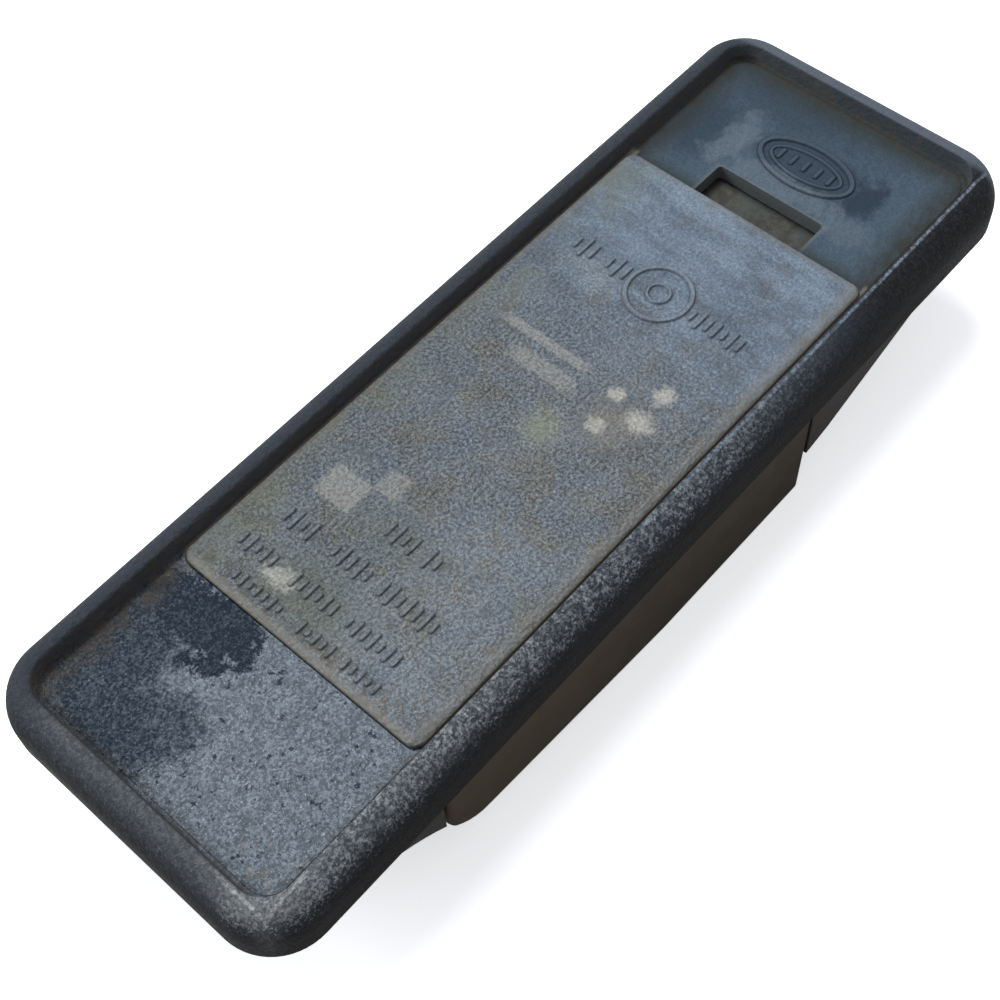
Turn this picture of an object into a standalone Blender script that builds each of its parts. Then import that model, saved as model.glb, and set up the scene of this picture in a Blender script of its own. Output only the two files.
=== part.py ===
"""Rear registration-plate lamp, modelled as the separate pieces it comes apart into.

The lamp lies on its lens. X runs along its length, with the pry slot at the far end (+X);
Y runs across it; Z points up. The origin is under the middle of the lamp, on the surface
that it lies on. Heights are written as depths below the top of the cover's rim.
"""

import math

import bmesh
import bpy
from mathutils import Matrix, Vector

MM = 0.001

# Overall size
LENGTH = 118.0 * MM
WIDTH = 40.2 * MM
HEIGHT = 21.2 * MM
GAP = 0.3 * MM

# Cover shell
CORNER = 6.5 * MM
RIM_WIDTH = 3.5 * MM
RIM_ROUND = 3.0 * MM
RIM_DROP = 4.3 * MM
FLOOR = 2.15 * MM
LEDGE = 2.55 * MM
ROOF = 4.0 * MM
SKIRT = 5.75 * MM
SKIRT_WALL = 2.2 * MM
PAD_LENGTH = 9.0 * MM
PAD_WIDTH = 18.0 * MM
PAD_X = 52.2 * MM

# Marking panel, which closes the opening over the bulb
PANEL_NEAR = -36.0 * MM
PANEL_FAR = 34.3 * MM
PANEL_HALF_WIDTH = 16.05 * MM
PANEL_TOP = 1.4 * MM
PANEL_UNDER = 2.25 * MM
PANEL_CORNER = 1.3 * MM
PANEL_EDGE = 0.35 * MM
OPENING_NEAR = -30.0 * MM
OPENING_FAR = 27.0 * MM
OPENING_HALF_WIDTH = 12.0 * MM
OPENING_CORNER = 2.0 * MM
RIB_WALL = 1.2 * MM
RIB_CLEARANCE = 0.7 * MM
RIB_END = 3.7 * MM
LUG_END = 6.2 * MM
LUG_HALF_WIDTH = 3.6 * MM
POST_RADIUS = 2.0 * MM
POST_END = 3.75 * MM
SLOT_FAR = 39.4 * MM
SLOT_HALF_WIDTH = 7.2 * MM

# Lens trough
LENS_NEAR = -36.4 * MM
LENS_FAR = 21.3 * MM
LENS_INSET = 0.35 * MM
LENS_TOP = SKIRT + GAP
LENS_CORNER = 2.3 * MM
LENS_WALL = 1.8 * MM
LENS_RIM_WALL = 4.55 * MM
LENS_RIM_END = 8.0 * MM
LENS_EDGE = 1.2 * MM
LENS_DRAFT = 0.25 * MM
BELLY_NEAR = -3.0 * MM
NEAR_ROUND = -31.0 * MM
NEAR_DEPTH = 18.3 * MM
NEAR_END_DEPTH = 14.0 * MM

# Carrier and contacts
CARRIER_TOP = 4.5 * MM
CARRIER_FLANGE = SKIRT
CARRIER_END = 8.5 * MM
CARRIER_OPEN_NEAR = -26.3 * MM
CARRIER_OPEN_FAR = 12.3 * MM
CARRIER_OPEN_HALF = 11.0 * MM
STRIP_TOP = 4.6 * MM
STRIP_THICK = 0.5 * MM
STRIP_WIDTH = 2.2 * MM
FOOT_HALF = 2.2 * MM
STRIP_Y = 13.0 * MM
CHANNEL_END = 5.4 * MM
BLADE_DEPTH = 7.6 * MM
BLADE_THICK = 0.8 * MM
BLADE_WIDTH = 6.3 * MM
BLADE_NEAR = 23.7 * MM
BLADE_FAR = 32.3 * MM
LEAF_THICK = 0.5 * MM
LEAF_HALF_WIDTH = 3.5 * MM
LEAF_END = 15.4 * MM
RIVET_RADIUS = 1.1 * MM
RIVET_HEAD = 1.7 * MM
RIVET_HEAD_THICK = 0.4 * MM

# Festoon bulb
BULB_X = -7.0 * MM
BULB_DEPTH = 12.0 * MM
BULB_LENGTH = 36.4 * MM
GLASS_RADIUS = 5.0 * MM
GLASS_HALF = 11.0 * MM
GLASS_WALL = 0.5 * MM
NECK_RADIUS = 3.2 * MM
NECK_HALF = 15.0 * MM
CAP_RADIUS = 3.95 * MM
CAP_WALL = 0.4 * MM
NIPPLE_RADIUS = 1.0 * MM
FILAMENT_RADIUS = 0.16 * MM

# Reflector under the panel
REFLECTOR_RADIUS = 7.9 * MM
REFLECTOR_THICK = 0.6 * MM
REFLECTOR_NEAR = -24.6 * MM
REFLECTOR_FAR = 10.6 * MM
REFLECTOR_ANGLE = math.radians(65.0)

# End blocks
BLOCK_INSET = 0.5 * MM
NEAR_BLOCK_TIP = -46.5 * MM
NEAR_BLOCK_FACE = LENS_NEAR - 0.4 * MM
NEAR_BLOCK_DEPTH = 12.9 * MM
FAR_BLOCK_FACE = LENS_FAR + 0.4 * MM
FAR_BLOCK_KNEE = 25.5 * MM
FAR_BLOCK_TIP = 43.8 * MM
FAR_BLOCK_DEPTH = 15.4 * MM
FAR_KNEE_DEPTH = 14.4 * MM
TIP_DEPTH = 6.9 * MM
BLOCK_WALL = 1.6 * MM
FAR_CAVITY_END = 33.3 * MM
SCREW_X = (-39.8 * MM, 37.0 * MM)
SCREW_Y = (11.0 * MM, 12.0 * MM)
BOSS_RADIUS = 3.2 * MM
BOSS_END = 7.1 * MM
SCREW_RADIUS = 1.45 * MM
SCREW_HEAD = 2.7 * MM
SCREW_HEAD_HEIGHT = 1.4 * MM
SCREW_SEAT = (8.7 * MM, 8.7 * MM)
SCREW_TIP = 3.5 * MM
PILOT_END = 3.15 * MM

# Catch spring under the pry slot
CATCH_TOP = 4.35 * MM
CATCH_THICK = 0.4 * MM
CATCH_NOSE = 26.6 * MM
CATCH_END = 46.8 * MM
CATCH_HALF_WIDTH = 7.8 * MM
CATCH_NOSE_HALF = 4.0 * MM
CATCH_PIVOT = 44.6 * MM
CATCH_NOSE_END = 6.1 * MM

# Grommet and threaded inserts
GROMMET_X = 28.6 * MM
GROMMET_BORE = 1.6 * MM
GROMMET_WAIST = 3.3 * MM
GROMMET_FLANGE = 4.5 * MM
INSERT_RADIUS = 3.25 * MM
INSERT_BORE = 1.7 * MM
INSERT_END = 3.4 * MM

ROUND_STEPS = 24
CORNER_STEPS = 5


def height(depth):
    """Height above the ground of a level given as its depth below the rim."""
    return HEIGHT - depth


def clear_scene():
    for item in list(bpy.data.objects):
        bpy.data.objects.remove(item, do_unlink=True)


def make_material(name, colour, roughness, metallic=0.0, transmission=0.0):
    material = bpy.data.materials.new(name)
    material.use_nodes = True
    shader = material.node_tree.nodes["Principled BSDF"]
    shader.inputs["Base Color"].default_value = (*colour, 1.0)
    shader.inputs["Roughness"].default_value = roughness
    shader.inputs["Metallic"].default_value = metallic
    shader.inputs["Transmission Weight"].default_value = transmission
    material.diffuse_color = (*colour, 1.0)
    return material


def object_from(name, mesh_data, material=None, smooth_angle=None):
    """Turn a bmesh into an object with outward faces and optional smooth shading."""
    bmesh.ops.remove_doubles(mesh_data, verts=mesh_data.verts, dist=1e-6)
    bmesh.ops.recalc_face_normals(mesh_data, faces=mesh_data.faces)
    mesh = bpy.data.meshes.new(name)
    mesh_data.to_mesh(mesh)
    mesh_data.free()
    item = bpy.data.objects.new(name, mesh)
    bpy.context.scene.collection.objects.link(item)
    if material is not None:
        mesh.materials.append(material)
    if smooth_angle is not None:
        mesh.shade_smooth()
        mesh.set_sharp_from_angle(angle=math.radians(smooth_angle))
    return item


def rounded_loop(near, far, half_width, radius, depth, steps=CORNER_STEPS):
    """Points of a rectangle with rounded corners, at one level."""
    radius = max(radius, 0.2 * MM)
    corners = (
        (far - radius, half_width - radius, 0.0),
        (near + radius, half_width - radius, 90.0),
        (near + radius, radius - half_width, 180.0),
        (far - radius, radius - half_width, 270.0),
    )
    points = []
    for x, y, start in corners:
        for step in range(steps + 1):
            angle = math.radians(start + 90.0 * step / steps)
            across = y + radius * math.sin(angle)
            points.append(Vector((x + radius * math.cos(angle), across, height(depth))))
    return points


def loft(loops):
    """Closed body whose skin runs from the first loop to the last, both capped."""
    mesh_data = bmesh.new()
    rings = [[mesh_data.verts.new(point) for point in loop] for loop in loops]
    for lower, upper in zip(rings, rings[1:]):
        count = len(lower)
        for index in range(count):
            following = (index + 1) % count
            quad = (lower[index], lower[following], upper[following], upper[index])
            mesh_data.faces.new(quad)
    mesh_data.faces.new(rings[0])
    mesh_data.faces.new(rings[-1])
    return mesh_data


def tube_loft(loops):
    """Closed ring-shaped body whose skin runs through all loops and back to the first."""
    mesh_data = bmesh.new()
    rings = [[mesh_data.verts.new(point) for point in loop] for loop in loops]
    for lower, upper in zip(rings, rings[1:] + rings[:1]):
        count = len(lower)
        for index in range(count):
            following = (index + 1) % count
            quad = (lower[index], lower[following], upper[following], upper[index])
            mesh_data.faces.new(quad)
    return mesh_data


def box(near, far, right, left, top, bottom):
    """Box between two X places, two Y places and two depths."""
    mesh_data = bmesh.new()
    bmesh.ops.create_cube(mesh_data, size=1.0)
    size = Vector((far - near, left - right, bottom - top))
    middle = Vector((near + far, right + left, height(top) + height(bottom))) / 2.0
    bmesh.ops.scale(mesh_data, vec=size, verts=mesh_data.verts)
    bmesh.ops.translate(mesh_data, vec=middle, verts=mesh_data.verts)
    return mesh_data


def slab(outline, right, left):
    """Side outline of (x, depth) points, drawn out from one Y place to another."""
    mesh_data = bmesh.new()
    near_ring = [mesh_data.verts.new((x, right, height(depth))) for x, depth in outline]
    face = mesh_data.faces.new(near_ring)
    drawn = bmesh.ops.extrude_face_region(mesh_data, geom=[face])
    moved = [item for item in drawn["geom"] if isinstance(item, bmesh.types.BMVert)]
    bmesh.ops.translate(mesh_data, vec=(0.0, left - right, 0.0), verts=moved)
    return mesh_data


def plate(outline, top, bottom):
    """Plan outline of (x, y) points, drawn out from one depth to another."""
    mesh_data = bmesh.new()
    ring = [mesh_data.verts.new((x, y, height(top))) for x, y in outline]
    face = mesh_data.faces.new(ring)
    drawn = bmesh.ops.extrude_face_region(mesh_data, geom=[face])
    moved = [item for item in drawn["geom"] if isinstance(item, bmesh.types.BMVert)]
    bmesh.ops.translate(mesh_data, vec=(0.0, 0.0, top - bottom), verts=moved)
    return mesh_data


def turned(profile, frame, steps=ROUND_STEPS):
    """Body turned about its own Z axis from (radius, z) points, then placed by a matrix."""
    mesh_data = bmesh.new()
    rings = []
    for radius, z in profile:
        ring = []
        for step in range(steps):
            angle = 2.0 * math.pi * step / steps
            point = Vector((radius * math.cos(angle), radius * math.sin(angle), z))
            ring.append(mesh_data.verts.new(point))
        rings.append(ring)
    for lower, upper in zip(rings, rings[1:]):
        for index in range(steps):
            following = (index + 1) % steps
            quad = (lower[index], lower[following], upper[following], upper[index])
            mesh_data.faces.new(quad)
    if profile[0] == profile[-1]:
        bmesh.ops.remove_doubles(mesh_data, verts=mesh_data.verts, dist=1e-7)
    else:
        mesh_data.faces.new(rings[0])
        mesh_data.faces.new(rings[-1])
    bmesh.ops.transform(mesh_data, matrix=frame, verts=mesh_data.verts)
    return mesh_data


def upright(x, y, depth):
    """Placing matrix for a turned body that stands on a level."""
    return Matrix.Translation((x, y, height(depth)))


def combine(item, other_mesh, operation):
    """Cut a shape out of an object, or join one to it."""
    tool = object_from(item.name + "_tool", other_mesh)
    tool.hide_render = True
    tool.display_type = "WIRE"
    modifier = item.modifiers.new(operation.title(), "BOOLEAN")
    modifier.operation = operation
    modifier.solver = "EXACT"
    modifier.object = tool
    bpy.context.view_layer.update()
    evaluated = item.evaluated_get(bpy.context.evaluated_depsgraph_get())
    result = bpy.data.meshes.new_from_object(evaluated)
    item.modifiers.clear()
    item.data = result
    bpy.data.objects.remove(tool, do_unlink=True)


def cut(item, other_mesh):
    combine(item, other_mesh, "DIFFERENCE")


def join(item, other_mesh):
    combine(item, other_mesh, "UNION")


def set_origin(item, place):
    """Move an object's origin to a place without moving its shape."""
    place = Vector(place)
    item.data.transform(Matrix.Translation(-place))
    item.location = place


def screw_places():
    """Name, X, Y and seat depth of the four tapping screws."""
    places = []
    for end, x, y, seat in zip(("near", "far"), SCREW_X, SCREW_Y, SCREW_SEAT):
        for side, sign in (("right", -1.0), ("left", 1.0)):
            places.append((f"{end}_{side}", x, sign * y, seat))
    return places


def cover_loops():
    """Levels of the cover from its recessed floor, over the rim and round the skirt."""
    def level(inset, depth):
        half = LENGTH / 2.0 - inset
        return rounded_loop(-half, half, WIDTH / 2.0 - inset, CORNER - inset, depth, 6)

    loops = [
        level(RIM_WIDTH + 0.3 * MM, FLOOR),
        level(RIM_WIDTH + 0.05 * MM, FLOOR - 0.25 * MM),
        level(RIM_WIDTH - 0.15 * MM, 0.3 * MM),
        level(RIM_WIDTH - 0.4 * MM, 0.0),
    ]
    arc_steps = 6
    for step in range(arc_steps + 1):
        angle = 0.5 * math.pi * step / arc_steps
        inset = RIM_ROUND * (1.0 - math.sin(angle))
        loops.append(level(inset, RIM_DROP * (1.0 - math.cos(angle))))
    loops.append(level(0.0, SKIRT - 0.4 * MM))
    loops.append(level(0.4 * MM, SKIRT))
    loops.append(level(SKIRT_WALL, SKIRT))
    loops.append(level(SKIRT_WALL + 0.1 * MM, ROOF))
    return loops


def make_cover_shell():
    material = make_material("cover_black_plastic", (0.030, 0.034, 0.040), 0.62)
    cover = object_from("cover_shell", loft(cover_loops()), material)
    half_pad = PAD_WIDTH / 2.0
    for x in (-PAD_X, PAD_X):
        near = x - PAD_LENGTH / 2.0
        far = x + PAD_LENGTH / 2.0
        join(cover, box(near, far, -half_pad, half_pad, ROOF - 0.8 * MM, SKIRT))
    for _, x, y, _ in screw_places():
        depth = BOSS_END - ROOF + 0.8 * MM
        profile = [(BOSS_RADIUS, 0.0), (BOSS_RADIUS, depth)]
        join(cover, turned(profile, upright(x, y, BOSS_END), 20))
    edge = 0.35 * MM
    recess = [
        rounded_loop(PANEL_NEAR - edge, PANEL_FAR + edge, PANEL_HALF_WIDTH + edge,
                     PANEL_CORNER + edge, depth)
        for depth in (LEDGE, 0.9 * MM)
    ]
    cut(cover, loft(recess))
    opening = [
        rounded_loop(OPENING_NEAR, OPENING_FAR, OPENING_HALF_WIDTH, OPENING_CORNER, depth)
        for depth in (ROOF + 1.0 * MM, 1.0 * MM)
    ]
    cut(cover, loft(opening))
    cut(cover, box(PANEL_FAR - 1.0 * MM, SLOT_FAR, -SLOT_HALF_WIDTH, SLOT_HALF_WIDTH,
                   1.0 * MM, ROOF + 1.0 * MM))
    cut(cover, seal_ring(GAP, LEDGE - 0.4 * MM, LEDGE + 0.75 * MM))
    for x in (-PAD_X, PAD_X):
        radius = INSERT_RADIUS + GAP
        profile = [(radius, 0.0), (radius, SKIRT - INSERT_END + 1.3 * MM)]
        cut(cover, turned(profile, upright(x, 0.0, SKIRT + 1.0 * MM), 20))
    for _, x, y, _ in screw_places():
        radius = SCREW_RADIUS + GAP
        profile = [(radius, 0.0), (radius, BOSS_END - PILOT_END + 1.0 * MM)]
        cut(cover, turned(profile, upright(x, y, BOSS_END + 1.0 * MM), 16))
    shank = RIVET_RADIUS + GAP
    profile = [(shank, 0.0), (shank, ROOF - PILOT_END + 1.0 * MM)]
    cut(cover, turned(profile, upright(CATCH_PIVOT, 0.0, ROOF + 1.0 * MM), 16))
    cover.data.shade_smooth()
    cover.data.set_sharp_from_angle(angle=math.radians(35.0))


def seal_ring(margin, top, bottom):
    """Ring round the opening; the seal itself, or its groove when given a margin."""
    outer = 2.9 * MM + margin
    inner = 1.5 * MM - margin
    levels = []
    for grow, depth in ((outer, bottom), (outer, top), (inner, top), (inner, bottom)):
        levels.append(rounded_loop(OPENING_NEAR - grow, OPENING_FAR + grow,
                                   OPENING_HALF_WIDTH + grow, OPENING_CORNER + grow, depth))
    return tube_loft(levels)


def make_panel_seal():
    material = make_material("panel_seal_rubber", (0.020, 0.020, 0.021), 0.85)
    ring = seal_ring(0.0, LEDGE, LEDGE + 0.45 * MM)
    object_from("panel_seal", ring, material, 35.0)


def make_marking_panel():
    material = make_material("panel_black_plastic", (0.060, 0.066, 0.072), 0.66)

    def level(inset, depth):
        return rounded_loop(PANEL_NEAR + inset, PANEL_FAR - inset,
                            PANEL_HALF_WIDTH - inset, PANEL_CORNER - inset, depth)

    def rib(inset, depth):
        shrink = RIB_CLEARANCE + inset
        return rounded_loop(OPENING_NEAR + shrink, OPENING_FAR - shrink,
                            OPENING_HALF_WIDTH - shrink, OPENING_CORNER - inset, depth)

    loops = [
        level(PANEL_EDGE, PANEL_TOP),
        level(0.3 * PANEL_EDGE, PANEL_TOP + 0.3 * PANEL_EDGE),
        level(0.0, PANEL_TOP + PANEL_EDGE),
        level(0.0, PANEL_UNDER),
        rib(0.0, PANEL_UNDER),
        rib(0.0, RIB_END),
        rib(RIB_WALL, RIB_END),
        rib(RIB_WALL, PANEL_UNDER),
    ]
    panel = object_from("marking_panel", loft(loops), material)
    lug_face = OPENING_FAR - RIB_CLEARANCE
    join(panel, box(lug_face - 1.4 * MM, lug_face, -LUG_HALF_WIDTH, LUG_HALF_WIDTH,
                    PANEL_UNDER - 0.4 * MM, LUG_END))
    for x in (BULB_X - 11.0 * MM, BULB_X + 11.0 * MM):
        profile = [(POST_RADIUS, 0.0), (POST_RADIUS, POST_END - PANEL_UNDER + 0.4 * MM)]
        join(panel, turned(profile, upright(x, 0.0, POST_END), 16))
    panel.data.shade_smooth()
    panel.data.set_sharp_from_angle(angle=math.radians(35.0))


def make_panel_reflector():
    """Curved bright sheet that hangs from the panel over the bulb."""
    material = make_material("reflector_bright_metal", (0.78, 0.78, 0.76), 0.22, 1.0)
    arc_steps = 16
    angles = [REFLECTOR_ANGLE * (2.0 * step / arc_steps - 1.0) for step in range(arc_steps + 1)]
    section = []
    for radius, order in ((REFLECTOR_RADIUS, angles),
                          (REFLECTOR_RADIUS - REFLECTOR_THICK, reversed(angles))):
        for angle in order:
            section.append((radius * math.sin(angle), BULB_DEPTH - radius * math.cos(angle)))
    mesh_data = bmesh.new()
    ring = [mesh_data.verts.new((REFLECTOR_NEAR, y, height(depth))) for y, depth in section]
    face = mesh_data.faces.new(ring)
    drawn = bmesh.ops.extrude_face_region(mesh_data, geom=[face])
    moved = [item for item in drawn["geom"] if isinstance(item, bmesh.types.BMVert)]
    length = REFLECTOR_FAR - REFLECTOR_NEAR
    bmesh.ops.translate(mesh_data, vec=(length, 0.0, 0.0), verts=moved)
    object_from("panel_reflector", mesh_data, material, 35.0)


def belly_scale(x):
    """Share of the lens's full depth that it has at a place along its length."""
    full = HEIGHT - LENS_TOP
    if x >= BELLY_NEAR:
        return 1.0
    if x >= NEAR_ROUND:
        share = (BELLY_NEAR - x) / (BELLY_NEAR - NEAR_ROUND)
        return 1.0 - share * (HEIGHT - NEAR_DEPTH) / full
    share = (NEAR_ROUND - x) / (NEAR_ROUND - LENS_NEAR)
    depth = NEAR_DEPTH - (NEAR_DEPTH - NEAR_END_DEPTH) * share ** 2
    return (depth - LENS_TOP) / full


def make_lens():
    material = make_material("lens_smoked_plastic", (0.16, 0.12, 0.085), 0.15, 0.0, 0.75)

    def level(inset, depth):
        half = WIDTH / 2.0 - LENS_INSET - inset
        return rounded_loop(LENS_NEAR + inset, LENS_FAR - inset, half,
                            LENS_CORNER - inset, depth)

    loops = [
        level(LENS_DRAFT + LENS_EDGE, HEIGHT),
        level(LENS_DRAFT + 0.35 * LENS_EDGE, HEIGHT - 0.3 * LENS_EDGE),
        level(LENS_DRAFT, HEIGHT - LENS_EDGE),
        level(0.0, LENS_TOP),
        level(LENS_RIM_WALL, LENS_TOP),
        level(LENS_RIM_WALL, LENS_RIM_END),
        level(LENS_WALL, LENS_RIM_END + 1.2 * MM),
        level(LENS_WALL + LENS_DRAFT, HEIGHT - LENS_WALL),
    ]
    mesh_data = loft(loops)
    cuts = [BELLY_NEAR, NEAR_ROUND]
    for share in (0.3, 0.55, 0.8):
        cuts.append(NEAR_ROUND + share * (LENS_NEAR - NEAR_ROUND))
    for x in cuts:
        parts = mesh_data.verts[:] + mesh_data.edges[:] + mesh_data.faces[:]
        bmesh.ops.bisect_plane(mesh_data, geom=parts, plane_co=(x, 0, 0), plane_no=(1, 0, 0))
    rim = height(LENS_TOP)
    for vert in mesh_data.verts:
        vert.co.z = rim + (vert.co.z - rim) * belly_scale(vert.co.x)
    bmesh.ops.triangulate(mesh_data, faces=mesh_data.faces)
    object_from("lens", mesh_data, material, 30.0)


def make_lens_gasket():
    """Rubber ring between the lens rim and the cover, notched for the two strips."""
    material = make_material("gasket_rubber", (0.018, 0.018, 0.019), 0.85)
    outer = 1.5 * MM
    inner = 2.6 * MM
    side = WIDTH / 2.0 - SKIRT_WALL - GAP
    top = ROOF + GAP
    levels = []
    for inset, half, depth in ((outer, side, SKIRT), (outer, side, top),
                               (inner, side - 1.1 * MM, top), (inner, side - 1.1 * MM, SKIRT)):
        levels.append(rounded_loop(LENS_NEAR + inset, LENS_FAR - inset, half,
                                   LENS_CORNER - inset, depth))
    gasket = object_from("lens_gasket", tube_loft(levels), material)
    for sign in (-1.0, 1.0):
        middle = sign * STRIP_Y
        half = STRIP_WIDTH / 2.0 + GAP
        cut(gasket, box(0.0, LENS_FAR + 1.0 * MM, middle - half, middle + half,
                        top - 1.0 * MM, CHANNEL_END))


def make_bulb_carrier():
    """Frame that hangs in the lens and holds the contacts, with channels for the strips."""
    material = make_material("carrier_grey_plastic", (0.34, 0.34, 0.32), 0.5)
    flange_near = LENS_NEAR + 2.6 * MM + GAP
    flange_far = LENS_FAR - 2.6 * MM - GAP
    body_near = LENS_NEAR + LENS_RIM_WALL + GAP
    body_far = LENS_FAR - LENS_RIM_WALL - GAP
    body_half = WIDTH / 2.0 - LENS_INSET - LENS_RIM_WALL - GAP
    flange_half = WIDTH / 2.0 - SKIRT_WALL - GAP - 1.1 * MM - GAP
    corner = 1.2 * MM
    loops = [
        rounded_loop(body_near, body_far, body_half, corner, CARRIER_END),
        rounded_loop(body_near, body_far, body_half, corner, CARRIER_FLANGE),
        rounded_loop(flange_near, flange_far, flange_half, corner, CARRIER_FLANGE),
        rounded_loop(flange_near, flange_far, flange_half, corner, CARRIER_TOP),
    ]
    carrier = object_from("bulb_carrier", loft(loops), material)
    window = [
        rounded_loop(CARRIER_OPEN_NEAR, CARRIER_OPEN_FAR, CARRIER_OPEN_HALF, 1.5 * MM, depth)
        for depth in (CARRIER_END + 1.0 * MM, CARRIER_TOP - 1.0 * MM)
    ]
    cut(carrier, loft(window))
    half = STRIP_WIDTH / 2.0 + GAP
    top = CARRIER_TOP - 0.5 * MM
    for sign, x in ((1.0, near_rivet_x()), (-1.0, far_rivet_x())):
        sides = sorted((sign * (STRIP_Y - half), sign * (STRIP_Y + half)))
        foot = FOOT_HALF + GAP
        cross = sorted((-sign * foot, sign * (STRIP_Y + half)))
        cut(carrier, box(x - foot, flange_far + 1.0 * MM, *sides, top, CHANNEL_END))
        cut(carrier, box(x - foot, x + foot, *cross, top, CHANNEL_END))
        bore = RIVET_RADIUS + GAP
        profile = [(bore, 0.0), (bore, CARRIER_END - CARRIER_TOP + 2.0 * MM)]
        cut(carrier, turned(profile, upright(x, 0.0, CARRIER_END + 1.0 * MM), 16))


def near_rivet_x():
    return CARRIER_OPEN_NEAR - 1.9 * MM


def far_rivet_x():
    return CARRIER_OPEN_FAR + 1.35 * MM


def make_contact_leaf(end, pivot_x, face_x):
    """Brass leaf: a short foot under the carrier and a blade that presses on the bulb."""
    material = make_material(f"leaf_brass_{end}", (0.72, 0.55, 0.26), 0.3, 1.0)
    away = 1.0 if pivot_x < face_x else -1.0
    top = CARRIER_END + GAP
    back = pivot_x - away * 2.0 * MM
    inner = face_x - away * LEAF_THICK
    toe = face_x - away * 1.1 * MM
    outline = [
        (back, top), (face_x, top), (face_x, LEAF_END - 0.8 * MM), (toe, LEAF_END),
        (toe - away * LEAF_THICK, LEAF_END), (inner, LEAF_END - 1.1 * MM),
        (inner, top + LEAF_THICK), (back, top + LEAF_THICK),
    ]
    name = f"contact_leaf_{end}"
    leaf = object_from(name, slab(outline, -LEAF_HALF_WIDTH, LEAF_HALF_WIDTH), material)
    bore = RIVET_RADIUS + GAP
    profile = [(bore, 0.0), (bore, 2.0 * MM)]
    cut(leaf, turned(profile, upright(pivot_x, 0.0, top + LEAF_THICK + 0.5 * MM), 16))
    set_origin(leaf, (pivot_x, 0.0, height(top + LEAF_THICK / 2.0)))


def make_rivet(name, x, top, bottom, colour):
    """Rivet with a head at both ends, outside the pieces that it holds."""
    material = make_material(name + "_metal", colour, 0.35, 1.0)
    upper = top - GAP
    lower = bottom + GAP
    length = lower - upper
    profile = [
        (0.6 * RIVET_HEAD, -RIVET_HEAD_THICK), (RIVET_HEAD, -0.4 * RIVET_HEAD_THICK),
        (RIVET_HEAD, 0.0), (RIVET_RADIUS, 0.0), (RIVET_RADIUS, length),
        (RIVET_HEAD, length), (RIVET_HEAD, length + 0.4 * RIVET_HEAD_THICK),
        (0.6 * RIVET_HEAD, length + RIVET_HEAD_THICK),
    ]
    object_from(name, turned(profile, upright(x, 0.0, lower), 20), material, 40.0)


def make_terminal(name, sign, start_x, colour):
    """Strip from a contact rivet over the lens rim to a push-on blade."""
    material = make_material(name + "_metal", colour, 0.35, 1.0)
    half = STRIP_WIDTH / 2.0
    side = sign * (STRIP_Y + half)
    inner = sign * (STRIP_Y - half)
    lower = STRIP_TOP + STRIP_THICK
    outline = [
        (start_x - FOOT_HALF, -sign * FOOT_HALF), (start_x + FOOT_HALF, -sign * FOOT_HALF),
        (start_x + FOOT_HALF, inner), (BLADE_NEAR + BLADE_THICK, inner),
        (BLADE_NEAR + BLADE_THICK, side), (start_x - FOOT_HALF, side),
    ]
    terminal = object_from(name, plate(outline, STRIP_TOP, lower), material)
    blade_sides = sorted((side, side - sign * BLADE_WIDTH))
    strip_sides = sorted((side, inner))
    join(terminal, box(BLADE_NEAR, BLADE_NEAR + BLADE_THICK, *strip_sides,
                       STRIP_TOP + 0.1 * MM, BLADE_DEPTH + BLADE_THICK - 0.1 * MM))
    join(terminal, box(BLADE_NEAR + 0.1 * MM, BLADE_FAR, *blade_sides,
                       BLADE_DEPTH, BLADE_DEPTH + BLADE_THICK))
    bore = RIVET_RADIUS + GAP * 0.7
    profile = [(bore, 0.0), (bore, 2.0 * MM)]
    cut(terminal, turned(profile, upright(start_x, 0.0, lower + 0.5 * MM), 16))


def lying_bulb():
    """Placing matrix that turns a turned body's axis along the bulb."""
    place = Matrix.Translation((BULB_X, 0.0, height(BULB_DEPTH)))
    return place @ Matrix.Rotation(math.radians(90.0), 4, "Y")


def make_bulb_glass():
    material = make_material("bulb_clear_glass", (0.92, 0.94, 0.94), 0.05, 0.0, 0.95)
    half_outer = [(NECK_RADIUS, NECK_HALF), (NECK_RADIUS, GLASS_HALF + 0.7 * MM)]
    for step in range(6):
        angle = 0.5 * math.pi * step / 5
        radius = NECK_RADIUS + (GLASS_RADIUS - NECK_RADIUS) * math.sin(angle)
        half_outer.append((radius, GLASS_HALF - 1.8 * MM + 2.2 * MM * math.cos(angle)))
    outer = half_outer + [(radius, -z) for radius, z in reversed(half_outer)]
    inner = [(radius - GLASS_WALL, z) for radius, z in reversed(outer)]
    profile = outer + inner
    profile.append(profile[0])
    object_from("bulb_glass", turned(profile, lying_bulb(), 28), material, 35.0)


def make_bulb_cap(end, sign):
    material = make_material(f"bulb_cap_metal_{end}", (0.70, 0.68, 0.62), 0.3, 1.0)
    tip = BULB_LENGTH / 2.0
    bottom = NECK_HALF + 0.4 * MM
    mouth = GLASS_HALF + 1.0 * MM
    bore = NECK_RADIUS + GAP
    profile = [
        (NIPPLE_RADIUS * 0.6, sign * tip), (NIPPLE_RADIUS, sign * (tip - 0.5 * MM)),
        (NIPPLE_RADIUS, sign * (tip - 0.9 * MM)), (CAP_RADIUS - 0.8 * MM, sign * (tip - 1.5 * MM)),
        (CAP_RADIUS, sign * (tip - 2.2 * MM)), (CAP_RADIUS, sign * mouth),
        (bore, sign * mouth), (bore, sign * bottom),
    ]
    object_from(f"bulb_cap_{end}", turned(profile, lying_bulb(), 24), material, 35.0)


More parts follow.
